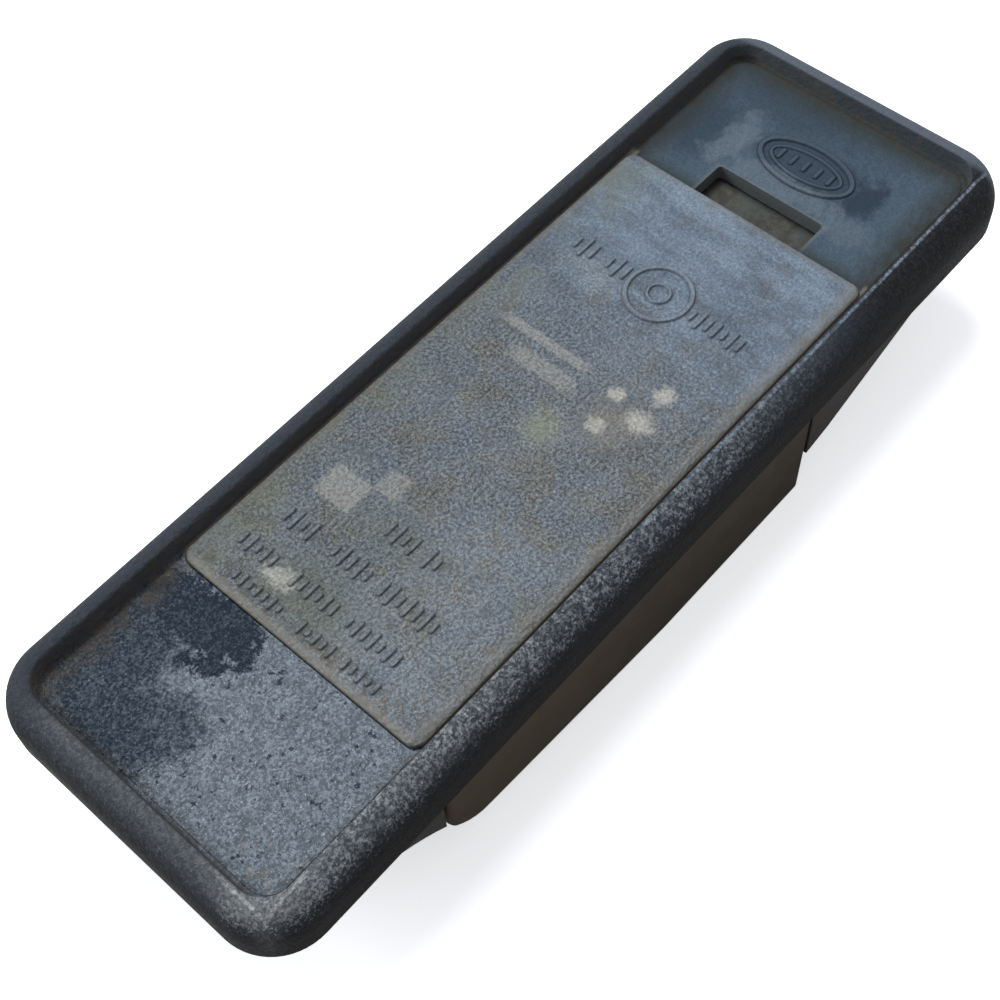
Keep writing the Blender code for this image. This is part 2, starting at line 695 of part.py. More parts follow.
def make_bulb_filament():
    """Thin wire that sags a little between the two caps."""
    material = make_material("filament_tungsten", (0.30, 0.29, 0.28), 0.4, 1.0)
    curve = bpy.data.curves.new("bulb_filament", "CURVE")
    curve.dimensions = "3D"
    curve.bevel_depth = FILAMENT_RADIUS
    curve.bevel_resolution = 1
    curve.use_fill_caps = True
    curve.materials.append(material)
    spline = curve.splines.new("POLY")
    count = 15
    spline.points.add(count - 1)
    half = NECK_HALF - 0.2 * MM
    sag = 1.2 * MM
    for index, point in enumerate(spline.points):
        share = 2.0 * index / (count - 1) - 1.0
        drop = sag * (1.0 - share ** 2)
        point.co = (BULB_X + half * share, 0.0, height(BULB_DEPTH + drop), 1.0)
    item = bpy.data.objects.new("bulb_filament", curve)
    bpy.context.scene.collection.objects.link(item)


def near_ramp(x):
    """Depth of the near block's hollow ramp, which steepens towards the lens."""
    share = (x - NEAR_BLOCK_TIP) / (NEAR_BLOCK_FACE - NEAR_BLOCK_TIP)
    return TIP_DEPTH + (NEAR_BLOCK_DEPTH - TIP_DEPTH) * max(share, 0.0) ** 1.6


def drill_block(block, end):
    """Pocket for each boss, hole for each screw and a sunk seat for its head."""
    for name, x, y, seat in screw_places():
        if not name.startswith(end):
            continue
        boss = BOSS_RADIUS + GAP
        pocket = [(boss, 0.0), (boss, BOSS_END + GAP - ROOF + 1.0 * MM)]
        cut(block, turned(pocket, upright(x, y, BOSS_END + GAP), 20))
        shank = SCREW_RADIUS + GAP
        hole = [(shank, 0.0), (shank, 14.0 * MM)]
        cut(block, turned(hole, upright(x, y, 18.0 * MM), 16))
        head = SCREW_HEAD + GAP
        sink = [(head, 0.0), (head, 18.0 * MM - seat)]
        cut(block, turned(sink, upright(x, y, 18.0 * MM), 20))


def make_end_block_near():
    material = make_material("near_block_plastic", (0.035, 0.035, 0.034), 0.5)
    outline = [(NEAR_BLOCK_TIP, LENS_TOP), (NEAR_BLOCK_FACE, LENS_TOP)]
    steps = 7
    for step in range(steps + 1):
        x = NEAR_BLOCK_FACE + (NEAR_BLOCK_TIP - NEAR_BLOCK_FACE) * step / steps
        outline.append((x, near_ramp(x)))
    half = WIDTH / 2.0 - BLOCK_INSET
    block = object_from("end_block_near", slab(outline, -half, half), material)
    inside = WIDTH / 2.0 - SKIRT_WALL - 0.2 * MM - GAP
    join(block, box(NEAR_BLOCK_TIP + 0.5 * MM, NEAR_BLOCK_FACE - 1.0 * MM, -inside, inside,
                    ROOF + GAP, LENS_TOP + 0.4 * MM))
    cut(block, box(NEAR_BLOCK_FACE - 6.0 * MM, NEAR_BLOCK_FACE - 1.6 * MM, -7.0 * MM, 7.0 * MM,
                   ROOF, LENS_TOP + 1.4 * MM))
    drill_block(block, "near")


def far_ramp(x):
    """Depth of the far block's straight ramp."""
    share = (x - FAR_BLOCK_KNEE) / (FAR_BLOCK_TIP - FAR_BLOCK_KNEE)
    return FAR_KNEE_DEPTH + (TIP_DEPTH - FAR_KNEE_DEPTH) * share


def make_end_block_far():
    material = make_material("far_block_plastic", (0.040, 0.037, 0.034), 0.45)
    outline = [
        (FAR_BLOCK_FACE, LENS_TOP), (FAR_BLOCK_TIP, LENS_TOP), (FAR_BLOCK_TIP, TIP_DEPTH),
        (FAR_BLOCK_KNEE, FAR_KNEE_DEPTH), (FAR_BLOCK_FACE, FAR_BLOCK_DEPTH),
    ]
    half = WIDTH / 2.0 - BLOCK_INSET
    block = object_from("end_block_far", slab(outline, -half, half), material)
    wall = BLOCK_WALL
    cavity = [
        (FAR_BLOCK_FACE + wall, ROOF), (FAR_CAVITY_END, ROOF),
        (FAR_CAVITY_END, far_ramp(FAR_CAVITY_END) - wall),
        (FAR_BLOCK_KNEE - 0.2 * MM, FAR_KNEE_DEPTH - wall),
        (FAR_BLOCK_FACE + wall, FAR_BLOCK_DEPTH - wall - 0.3 * MM),
    ]
    inside = half - wall
    cut(block, slab(cavity, -inside, inside))
    drill_block(block, "far")
    hole = [(GROMMET_WAIST + GAP, -6.0 * MM), (GROMMET_WAIST + GAP, 6.0 * MM)]
    cut(block, turned(hole, grommet_frame(), 24))


def ramp_angle():
    return math.atan2(FAR_KNEE_DEPTH - TIP_DEPTH, FAR_BLOCK_TIP - FAR_BLOCK_KNEE)


def grommet_frame():
    """Placing matrix in the middle of the far ramp's wall, with Z square to the ramp."""
    depth = far_ramp(GROMMET_X) - BLOCK_WALL / 2.0
    place = Matrix.Translation((GROMMET_X, 0.0, height(depth)))
    return place @ Matrix.Rotation(-ramp_angle(), 4, "Y")


def make_wire_grommet():
    material = make_material("grommet_rubber", (0.022, 0.022, 0.023), 0.8)
    waist = BLOCK_WALL / 2.0 + GAP
    upper = waist + 0.9 * MM
    lower = waist + 1.5 * MM
    profile = [
        (GROMMET_BORE, -lower), (GROMMET_FLANGE - 0.9 * MM, -lower),
        (GROMMET_FLANGE, -waist - 0.5 * MM), (GROMMET_FLANGE, -waist),
        (GROMMET_WAIST, -waist), (GROMMET_WAIST, waist),
        (GROMMET_FLANGE - 0.5 * MM, waist), (GROMMET_FLANGE - 1.0 * MM, upper),
        (GROMMET_BORE, upper), (GROMMET_BORE, -lower),
    ]
    object_from("wire_grommet", turned(profile, grommet_frame(), 24), material, 40.0)


def make_screws():
    for name, x, y, seat in screw_places():
        material = make_material(f"screw_zinc_{name}", (0.55, 0.54, 0.52), 0.4, 1.0)
        head_top = seat + GAP
        head_bottom = head_top + SCREW_HEAD_HEIGHT
        profile = [
            (SCREW_HEAD - 0.7 * MM, 0.0), (SCREW_HEAD, 0.55 * MM),
            (SCREW_HEAD, SCREW_HEAD_HEIGHT), (SCREW_RADIUS, SCREW_HEAD_HEIGHT),
            (SCREW_RADIUS, head_bottom - SCREW_TIP - 0.9 * MM),
            (0.3 * SCREW_RADIUS, head_bottom - SCREW_TIP),
        ]
        body = turned(profile, upright(x, y, head_bottom), 20)
        screw = object_from(f"block_screw_{name}", body, material, 40.0)
        long_arm = 1.5 * MM
        short_arm = 0.35 * MM
        sink = head_bottom - 0.8 * MM
        for half_x, half_y in ((long_arm, short_arm), (short_arm, long_arm)):
            cut(screw, box(x - half_x, x + half_x, y - half_y, y + half_y,
                           sink, head_bottom + 1.0 * MM))


def make_catch_spring():
    """Spring leaf that crosses under the pry slot and bears on the panel's lug."""
    material = make_material("catch_rusty_steel", (0.17, 0.105, 0.06), 0.75, 0.3)
    lower = CATCH_TOP + CATCH_THICK
    shoulder = CATCH_NOSE + 6.0 * MM
    outline = [
        (CATCH_NOSE + CATCH_THICK, -CATCH_NOSE_HALF), (shoulder - 2.0 * MM, -CATCH_NOSE_HALF),
        (shoulder, -CATCH_HALF_WIDTH), (CATCH_END - 3.0 * MM, -CATCH_HALF_WIDTH),
        (CATCH_END, -CATCH_NOSE_HALF), (CATCH_END, CATCH_NOSE_HALF),
        (CATCH_END - 3.0 * MM, CATCH_HALF_WIDTH), (shoulder, CATCH_HALF_WIDTH),
        (shoulder - 2.0 * MM, CATCH_NOSE_HALF), (CATCH_NOSE + CATCH_THICK, CATCH_NOSE_HALF),
    ]
    catch = object_from("catch_spring", plate(outline, CATCH_TOP, lower), material)
    join(catch, box(CATCH_NOSE, CATCH_NOSE + CATCH_THICK + 0.1 * MM, -CATCH_NOSE_HALF,
                    CATCH_NOSE_HALF, CATCH_TOP + 0.05 * MM, CATCH_NOSE_END))
    bore = RIVET_RADIUS + GAP
    profile = [(bore, 0.0), (bore, 2.0 * MM)]
    cut(catch, turned(profile, upright(CATCH_PIVOT, 0.0, lower + 0.5 * MM), 16))
    set_origin(catch, (CATCH_PIVOT, 0.0, height(CATCH_TOP + CATCH_THICK / 2.0)))


def make_catch_rivet():
    """Headed pin that is set into the cover's roof from below."""
    material = make_material("catch_rivet_steel", (0.30, 0.22, 0.16), 0.6, 0.7)
    lower = CATCH_TOP + CATCH_THICK + GAP
    profile = [
        (0.6 * RIVET_HEAD, -RIVET_HEAD_THICK), (RIVET_HEAD, -0.4 * RIVET_HEAD_THICK),
        (RIVET_HEAD, 0.0), (RIVET_RADIUS, 0.0), (RIVET_RADIUS, lower - SCREW_TIP),
    ]
    frame = upright(CATCH_PIVOT, 0.0, lower)
    object_from("catch_rivet", turned(profile, frame, 20), material, 40.0)


def make_mount_insert(end, x):
    """Threaded brass bush in the pad under each end of the cover."""
    material = make_material(f"insert_brass_{end}", (0.66, 0.50, 0.24), 0.35, 1.0)
    length = SKIRT - INSERT_END
    profile = [
        (INSERT_BORE, 0.0), (INSERT_RADIUS - 0.2 * MM, 0.0), (INSERT_RADIUS, 0.2 * MM),
        (INSERT_RADIUS, length), (INSERT_BORE, length), (INSERT_BORE, 0.0),
    ]
    body = turned(profile, upright(x, 0.0, SKIRT), 24)
    object_from(f"mount_insert_{end}", body, material, 40.0)


def main():
    clear_scene()
    make_cover_shell()
    make_panel_seal()
    make_marking_panel()
    make_panel_reflector()
    make_lens()
    make_lens_gasket()
    make_bulb_carrier()
    tip = BULB_LENGTH / 2.0 + GAP
    make_contact_leaf("near", near_rivet_x(), BULB_X - tip)
    make_contact_leaf("far", far_rivet_x(), BULB_X + tip)
    leaf_under = CARRIER_END + GAP + LEAF_THICK
    make_rivet("contact_rivet_near", near_rivet_x(), STRIP_TOP, leaf_under, (0.72, 0.56, 0.28))
    make_rivet("contact_rivet_far", far_rivet_x(), STRIP_TOP, leaf_under, (0.72, 0.56, 0.28))
    make_terminal("feed_terminal", 1.0, near_rivet_x(), (0.72, 0.56, 0.28))
    make_terminal("earth_terminal", -1.0, far_rivet_x(), (0.68, 0.66, 0.60))
    make_bulb_glass()
    make_bulb_cap("near", -1.0)
    make_bulb_cap("far", 1.0)
    make_bulb_filament()
    make_end_block_near()
    make_end_block_far()
    make_wire_grommet()
    make_screws()
    make_catch_spring()
    make_catch_rivet()
    make_mount_insert("near", -PAD_X)
    make_mount_insert("far", PAD_X)


main()
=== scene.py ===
import math
from functools import reduce

import bmesh
import bpy
from mathutils import Matrix, Vector


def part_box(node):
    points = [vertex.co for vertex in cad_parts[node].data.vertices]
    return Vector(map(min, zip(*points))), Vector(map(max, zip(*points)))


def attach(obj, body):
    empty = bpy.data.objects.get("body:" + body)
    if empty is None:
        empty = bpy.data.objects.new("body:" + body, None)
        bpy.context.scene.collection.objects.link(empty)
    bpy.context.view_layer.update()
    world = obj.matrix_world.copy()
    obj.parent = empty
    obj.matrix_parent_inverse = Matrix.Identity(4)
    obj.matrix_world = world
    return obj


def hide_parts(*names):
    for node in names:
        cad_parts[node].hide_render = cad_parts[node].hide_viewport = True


bl_info = {
    "name": "Registration plate lamp",
    "version": (1, 0, 0),
    "blender": (4, 5, 0),
    "location": "3D View > Sidebar > Plate Lamp",
    "description": "Builds a weathered registration plate lamp round its fixed frame",
    "category": "Add Mesh",
}

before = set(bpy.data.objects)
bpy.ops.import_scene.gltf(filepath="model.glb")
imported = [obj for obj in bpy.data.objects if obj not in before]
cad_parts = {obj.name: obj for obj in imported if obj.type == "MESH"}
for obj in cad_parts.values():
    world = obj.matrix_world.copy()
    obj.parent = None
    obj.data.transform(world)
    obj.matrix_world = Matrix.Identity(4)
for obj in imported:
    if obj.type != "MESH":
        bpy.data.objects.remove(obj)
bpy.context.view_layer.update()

MM = 0.001
COVER_LOW, COVER_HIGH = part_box("cover_shell")
PANEL_LOW, PANEL_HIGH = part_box("marking_panel")
LENS_LOW, LENS_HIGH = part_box("lens")
TOP = COVER_HIGH.z
FLOOR_DEPTH = 2.15 * MM
LEDGE_DEPTH = 2.55 * MM
ROOF_DEPTH = 4.0 * MM
PANEL_UNDER_DEPTH = 2.25 * MM
OPENING = (-30.0 * MM, 27.0 * MM, 12.0 * MM, 2.0 * MM)
SLOT = (34.3 * MM, 39.4 * MM, 7.2 * MM)
PAD_X = 52.2 * MM
SCREWS = {"near": (-39.8 * MM, 11.0 * MM), "far": (37.0 * MM, 12.0 * MM)}
CATCH_PIVOT = 44.6 * MM
BULB_X = -7.0 * MM
PAD_HALF = (4.5 * MM, 9.0 * MM)
BOSS_END = TOP - 7.1 * MM
RECESS_GAP = 0.16 * MM
OVAL_MIDDLE = (45.3 * MM, -0.5 * MM)
RING_MIDDLE = (19.7 * MM, 0.4 * MM)
MARK_SINK = 0.1 * MM
MARK_LIFT = 0.012 * MM

# Half sizes of the outline inside the cover's rim, in millimetres, for the finishes.
RIM_INSIDE = (55.3, 16.4)

# Rows of plain bars on the panel, in millimetres: place along the panel, side position of the
# first and of the last bar, bar length, pitch, and the numbers of the bars left out.
MARK_ROWS = (
    (19.7, 4.9, 12.0, 3.0, 1.15, (3,)),
    (19.6, -10.6, -4.2, 2.6, 1.05, ()),
    (-20.5, 2.0, -5.2, 2.6, 1.05, (4,)),
    (-25.8, 11.0, -9.2, 2.6, 1.10, (4, 5, 11)),
    (-30.6, 12.5, -9.4, 2.2, 1.05, (5, 6, 13)),
    (-34.0, 10.0, -9.4, 1.6, 1.0, (7, 8, 14)),
)

# Stains and pale places seen from above, in millimetres: middle, half widths, softness of the
# edge, how much of the wobble the edge takes, and strength.
NEAR_STAINS = (
    (-39.0, 9.0, 3.8, 8.2, 0.12, 1.0, 1.0),
    (-44.5, 13.0, 9.0, 5.0, 0.3, 1.0, 0.85),
    (-52.5, 8.5, 5.5, 7.5, 0.4, 1.0, 0.85),
    (-48.5, 3.5, 2.6, 3.4, 0.45, 1.0, 0.7),
)
FAR_SMEARS = (
    (41.3, 0.5, 2.1, 8.4, 0.3, 1.1, 1.0),
    (43.8, 8.2, 4.2, 1.8, 0.3, 1.1, 1.0),
    (40.4, -9.4, 2.0, 3.0, 0.4, 1.0, 0.7),
)
FAR_STAINS = (
    (43.4, 12.6, 6.0, 3.2, 0.6, 0.7, 0.75),
    (52.5, 5.0, 4.0, 11.0, 0.7, 1.0, 0.6),
    (45.0, -8.5, 3.2, 2.1, 0.35, 1.0, 0.95),
    (45.3, -0.5, 3.9, 6.9, 0.25, 0.3, 0.7),
)
MOSS_CLOUDS = (
    (-31.0, 3.0, 4.0, 7.0, 0.7, 1.0, 0.45),
    (-21.0, 1.5, 3.0, 6.0, 0.7, 1.0, 0.3),
)
TAPE_REMAINS = (
    (-20.1, 9.1, 2.0, 2.4, 0.10, 0.08, 1.0),
    (-16.6, 5.4, 1.5, 1.4, 0.22, 0.20, 0.8),
    (4.1, 3.5, 1.0, 4.1, 0.25, 0.18, 0.80),
    (7.0, 5.5, 0.6, 5.6, 0.22, 0.18, 0.95),
)
PALE_SPOTS = (
    (9.4, -8.6, 1.2, 1.0, 0.6, 0.6, 1.0),
    (5.2, -8.6, 1.3, 1.56, 0.6, 0.6, 1.0),
    (6.5, -4.65, 0.8, 0.96, 0.6, 0.6, 1.0),
    (2.2, -5.45, 0.9, 1.08, 0.6, 0.6, 1.0),
    (-31.5, 6.6, 1.0, 1.9, 0.5, 1.0, 0.8),
    (3.0, -6.6, 2.6, 2.6, 0.7, 1.0, 0.22),
)

STUDIO_TONE = (0.40, 0.42, 0.46, 1.0)
WHITE = (1.0, 1.0, 1.0, 1.0)
# Name, place, width, power and colour of each lamp.
LAMPS = (
    ("overhead_softbox", (0.10, 0.22, 0.60), 0.35, 3.6, (0.96, 0.98, 1.0)),
    ("left_softbox", (-0.35, 0.42, 0.32), 0.25, 1.7, (0.92, 0.96, 1.0)),
)


def length(name, description, value, low, high):
    """One length setting, given in millimetres."""
    return bpy.props.FloatProperty(
        name=name, description=description, default=value * MM, min=low * MM, max=high * MM,
        unit="LENGTH")


class LampSizes(bpy.types.PropertyGroup):
    """Sizes of the visible edges and marks."""

    rim_round: length("Rim rounding", "Width of the rounding round the cover", 3.0, 0.5, 3.2)
    rim_drop: length("Rim drop", "Height of the rounding round the cover", 4.3, 1.0, 5.0)
    corner: length("Cover corner", "Corner radius of the cover in plan", 6.5, 4.0, 9.0)
    panel_edge: length("Panel edge", "Width of the panel's soft edge", 0.7, 0.1, 1.2)
    mark_height: length("Mark height", "How far the moulded marks stand up", 0.22, 0.05, 0.4)
    lens_wall: length("Lens wall", "Wall of the lens trough", 1.8, 1.2, 2.4)
    soft_edge: length("Soft edge", "Small bevel on moulded edges", 0.15, 0.03, 0.3)


def colour(name, description, value):
    """One colour setting with its default."""
    return bpy.props.FloatVectorProperty(
        name=name, description=description, default=value, size=3,
        min=0.0, max=1.0, subtype="COLOR")


class LampColours(bpy.types.PropertyGroup):
    """Colours of the finishes."""

    black: colour("Black plastic", "Plastic where nothing has bleached it", (0.014, 0.014, 0.015))
    bleached: colour("Bleached plastic", "Grey bloom on the near floor", (0.158, 0.182, 0.208))
    wet_blue: colour("Unbleached patch", "Blue-black patches in the bloom", (0.022, 0.033, 0.048))
    far_floor: colour("Far floor", "Cover's floor round the oval mark", (0.074, 0.104, 0.134))
    panel: colour("Panel", "Bleached face of the marked panel", (0.137, 0.155, 0.170))
    panel_far: colour("Panel far end", "Bluer far end of the panel", (0.126, 0.162, 0.206))
    beige: colour("Dust", "Beige dust along edges", (0.190, 0.176, 0.150))
    earth: colour("Earth", "Brown dirt in corners", (0.050, 0.042, 0.032))
    moss: colour("Moss tint", "Green and yellow tint on the panel", (0.118, 0.135, 0.085))
    smoke: colour("Smoked lens", "Smoked plastic of the lens", (0.042, 0.026, 0.009))
    brown_wall: colour("Brown plastic", "Plastic of the end blocks", (0.022, 0.018, 0.014))
    rust: colour("Rust", "Rust on the catch spring", (0.053, 0.051, 0.041))
    brass: colour("Brass", "Contacts and inserts", (0.560, 0.400, 0.170))
    steel: colour("Bright metal", "Zinc and tin plating", (0.520, 0.510, 0.490))
    rubber: colour("Rubber", "Seals and the grommet", (0.018, 0.018, 0.019))


class Field:
    """A value that varies over a surface; arithmetic on it adds Math nodes."""

    def __init__(self, finish, socket):
        self.finish = finish
        self.socket = socket

    def maths(self, operation, *others):
        return self.finish.maths(operation, self, *others)

    def __add__(self, other):
        return self.maths("ADD", other)

    def __sub__(self, other):
        return self.maths("SUBTRACT", other)

    def __rsub__(self, other):
        return self.finish.maths("SUBTRACT", other, self)

    def __mul__(self, other):
        return self.maths("MULTIPLY", other)

    def __truediv__(self, other):
        return self.maths("DIVIDE", other)

    def __abs__(self):
        return self.maths("ABSOLUTE")

    __radd__ = __add__
    __rmul__ = __mul__

    def lower(self, other):
        return self.maths("MINIMUM", other)

    def upper(self, other):
        return self.maths("MAXIMUM", other)

    def step(self, low, high):
        """Smooth rise from 0 at low to 1 at high, or a fall where low is above high."""
        if low > high:
            return 1.0 - self.step(high, low)
        node = self.finish.add(
            "ShaderNodeMapRange", {"interpolation_type": "SMOOTHSTEP"},
            {"Value": self, "From Min": low, "From Max": high})
        return Field(self.finish, node.outputs["Result"])


def add_node(tree, kind, settings=None, inputs=None):
    """Add a node, with its settings first and then the values or links of its sockets."""
    node = tree.nodes.new(kind)
    for setting, value in (settings or {}).items():
        setattr(node, setting, value)
    for socket, value in (inputs or {}).items():
        value = value.socket if isinstance(value, Field) else value
        if isinstance(value, bpy.types.NodeSocket):
            tree.links.new(value, node.inputs[socket])
        else:
            node.inputs[socket].default_value = value
    return node


class Finish:
    """A material with a Principled shader and helpers that add nodes to it."""

    def __init__(self, name, **constants):
        self.material = bpy.data.materials.new(name)
        self.material.use_nodes = True
        self.tree = self.material.node_tree
        self.tree.nodes.clear()
        self.shader = self.add("ShaderNodeBsdfPrincipled")
        self.output = self.add("ShaderNodeOutputMaterial", {}, {"Surface": self.shader.outputs[0]})
        for socket, value in constants.items():
            self.shader.inputs[socket.replace("_", " ")].default_value = value
        place = self.add("ShaderNodeTexCoord").outputs["Object"]
        scaled = self.add("ShaderNodeMapping", {}, {"Vector": place, "Scale": (1.0 / MM,) * 3})
        self.place = scaled.outputs[0]
        parts = self.add("ShaderNodeSeparateXYZ", {}, {"Vector": self.place})
        self.x, self.y, self.z = [Field(self, parts.outputs[axis]) for axis in "XYZ"]

    def add(self, kind, settings=None, inputs=None):
        return add_node(self.tree, kind, settings, inputs)

    def maths(self, operation, *values):
        node = self.add("ShaderNodeMath", {"operation": operation}, dict(enumerate(values)))
        return Field(self, node.outputs[0])

    def noise(self, size, detail=2.0, roughness=0.55, distortion=0.0, stretch=(1.0, 1.0, 1.0)):
        """Noise whose lumps are about this many millimetres across."""
        vector = self.place
        if stretch != (1.0, 1.0, 1.0):
            stretched = self.add("ShaderNodeMapping", {}, {"Vector": vector, "Scale": stretch})
            vector = stretched.outputs[0]
        node = self.add(
            "ShaderNodeTexNoise", {},
            {"Vector": vector, "Scale": 1.0 / size, "Detail": detail, "Roughness": roughness,
             "Distortion": distortion})
        return Field(self, node.outputs[0])

    def stored(self, name):
        """A value stored on the mesh."""
        node = self.add("ShaderNodeAttribute", {"attribute_name": name})
        return Field(self, node.outputs["Fac"])

    def facing_up(self):
        normal = self.add("ShaderNodeNewGeometry").outputs["Normal"]
        parts = self.add("ShaderNodeSeparateXYZ", {}, {"Vector": normal})
        return Field(self, parts.outputs["Z"])

    def patch(self, x, y, half_x, half_y, soft, wobble=None):
        """Mask of a squarish patch seen from above, in millimetres."""
        across = abs(self.x - x) / half_x
        along = abs(self.y - y) / half_y
        reach = across.upper(along)
        if wobble is not None:
            reach = reach + wobble
        return reach.step(1.0 + soft, 1.0 - soft)

    def blot(self, x, y, half_x, half_y, soft, wobble=None):
        """Mask of a round patch seen from above, in millimetres."""
        across = (self.x - x) / half_x
        along = (self.y - y) / half_y
        reach = (across * across + along * along).maths("SQRT")
        if wobble is not None:
            reach = reach + wobble
        return reach.step(1.0 + soft, 1.0 - soft)

    def strongest(self, shape, rows, wobble):
        """Join the masks of several patches or blots from a table."""
        masks = [shape(*place, wobble * share) * strength for *place, share, strength in rows]
        return reduce(Field.upper, masks)

    def tint(self, mask, under, over):
        """Lay one colour over another where a mask says."""
        colours = {0: mask, 6: shade(under), 7: shade(over)}
        return self.add("ShaderNodeMix", {"data_type": "RGBA"}, colours).outputs[2]

    def layers(self, skin, *coats):
        """Lay colours over a skin in turn, each where its mask says."""
        for mask, tone in coats:
            skin = self.tint(mask, skin, tone)
        return skin

    def brighten(self, colour_in, amount):
        """Multiply a colour by a varying amount."""
        inputs = {0: colour_in, "Scale": amount}
        return self.add("ShaderNodeVectorMath", {"operation": "SCALE"}, inputs).outputs[0]

    def finish(self, colour_in, roughness, height, depth):
        """Connect the colour, the roughness and the relief."""
        self.link(colour_in, "Base Color")
        self.link(roughness, "Roughness")
        bump = self.add("ShaderNodeBump", {}, {"Height": height, "Distance": depth})
        self.link(bump.outputs[0], "Normal")
        return self.material

    def link(self, value, socket):
        value = value.socket if isinstance(value, Field) else value
        self.tree.links.new(value, self.shader.inputs[socket])


def shade(value):
    """Give a plain colour its alpha; a socket stays as it is."""
    if isinstance(value, bpy.types.NodeSocket):
        return value
    return (*tuple(value)[:3], 1.0)


def scaled(value, amount):
    """A plain colour made lighter or darker."""
    return tuple(min(part * amount, 1.0) for part in tuple(value)[:3])


def cover_finish(tones):
    """Black plastic with a grey bloom on top, dust at the edges and bright grains on the rim,
    painted glints, sheen and highlights on the rim, and painted light and shade in the gaps, the
    slot and on the marks.
    """
    make = Finish("cover_weathered_plastic", Specular_IOR_Level=0.03)
    inner = (RIM_INSIDE[0] - abs(make.x)).lower(RIM_INSIDE[1] - abs(make.y))
    floor = inner.step(-0.25, 0.15) * make.z.step(19.9, 19.5) * make.z.step(18.2, 18.6)
    fine = make.noise(0.30, 5.0, 0.75)
    grain = fine.step(0.42, 0.60)
    mid = make.noise(2.1, 5.0, 0.7, 0.3)
    lumps = make.noise(6.5, 5.0, 0.65, 0.6)
    glints = make.noise(0.23, 2.0, 0.7).step(0.62, 0.70)
    wobble = (lumps - 0.5) * 1.4 + (mid - 0.5) * 2.2 + (fine - 0.5) * 0.5
    near = near_floor(make, tones, grain, mid, glints, wobble)
    far = far_floor(make, tones, grain, mid, inner, wobble)
    corner_dirt = inner.step(1.2, 0.0) * (mid.step(0.3, 0.6) * 0.4 + 0.15)
    ground = make.layers(near, (make.x.step(0.0, 1.0), far), (corner_dirt, tones.earth))
    up = make.facing_up()
    gap = (16.9 - abs(make.y)).step(0.0, 0.1) * inner.step(0.9, 0.6) * make.z.step(19.3, 19.1)
    slot_wall_fill_light = make.patch(36.6, 0.0, 3.1, 7.6, 0.02) * make.z.step(19.2, 18.9)
    skin = make.layers(
        rim_skin(make, tones, up, mid, fine, inner),
        (floor, ground),
        # Gap walls beside the panel in beige: dust, painted light enough to lift the shade in the
        # gaps.
        (gap * (abs(make.x) - 34.8).step(0.8, 0.0), (0.160, 0.145, 0.120)),
        # Walls inside the slot painted a lighter grey: painted light that lifts their shade.
        (slot_wall_fill_light * (mid * 0.4 + 0.6), (0.125, 0.135, 0.130)),
        # Marks: lighter tops for wear and a painted highlight, darker feet for dirt and painted
        # shade.
        (make.stored("mark_top_wear_and_highlight") * 0.14, tones.bleached),
        (make.stored("mark_foot_dirt_and_shade") * 0.7, scaled(tones.wet_blue, 0.9)))
    height = make.noise(0.80, 2.5, 0.6, 0.3) * 1.1 + fine * 0.45 + mid * 0.5
    smooth_far = 1.0 - make.x.step(30.0, 38.0) * 0.55
    smooth_side = 1.0 - up.step(0.35, 0.0) * 0.6
    roughness = 0.46 + (1.0 - grain) * 0.14 + floor * 0.06
    return make.finish(skin, roughness, height * smooth_far * smooth_side, 0.34 * MM)


def near_floor(make, tones, grain, mid, glints, wobble):
    """Grey bloom broken by a blue-black patch, small pits and brown dust on the left."""
    dark = make.strongest(make.blot, NEAR_STAINS, wobble)
    pits = make.noise(0.9, 4.0, 0.6).step(0.60, 0.65) * make.y.step(7.0, 3.0)
    crumbs = make.noise(1.6, 4.0, 0.6).step(0.54, 0.62)
    return make.layers(
        make.tint(grain, scaled(tones.bleached, 0.58), scaled(tones.bleached, 1.42)),
        (mid.step(0.46, 0.66) * 0.45, scaled(tones.bleached, 0.50)),
        ((dark * (1.15 - grain * 0.35)).lower(1.0), scaled(tones.wet_blue, 0.80)),
        (pits * 0.85, scaled(tones.wet_blue, 0.8)),
        (glints * (1.0 - dark * 0.75) * 0.80, (0.430, 0.460, 0.490)),
        (make.y.step(12.8, 15.6) * mid.step(0.36, 0.6) * 0.65, (0.080, 0.066, 0.050)),
        (make.blot(-52.4, -12.8, 2.4, 2.2, 0.6) * crumbs * 0.6, (0.200, 0.165, 0.120)))


def far_floor(make, tones, grain, mid, inner, wobble):
    """Blue-grey floor with dark blots, pale smears by the slot, olive dirt at its edges and
    painted shade beyond the panel's far edge.
    """
    smear = make.strongest(make.blot, FAR_SMEARS, wobble)
    blots = make.strongest(make.blot, FAR_STAINS, wobble)
    dirt = inner.step(4.4, 0.3) * (mid.step(0.32, 0.62) * 0.35 + 0.65)
    # Darker again just beyond the panel's far edge: painted shade at the foot of the panel's step.
    dirt = dirt.upper(make.x.step(36.8, 34.6) * 0.7)
    return make.layers(
        make.tint(grain * 0.6, scaled(tones.far_floor, 0.74), scaled(tones.far_floor, 1.10)),
        (mid.step(0.4, 0.7) * 0.35, scaled(tones.far_floor, 0.62)),
        (blots * 0.90, scaled(tones.wet_blue, 1.05)),
        (smear * (0.40 + grain * 0.3), (0.118, 0.145, 0.172)),
        (dirt.lower(1.0), (0.036, 0.040, 0.036)))


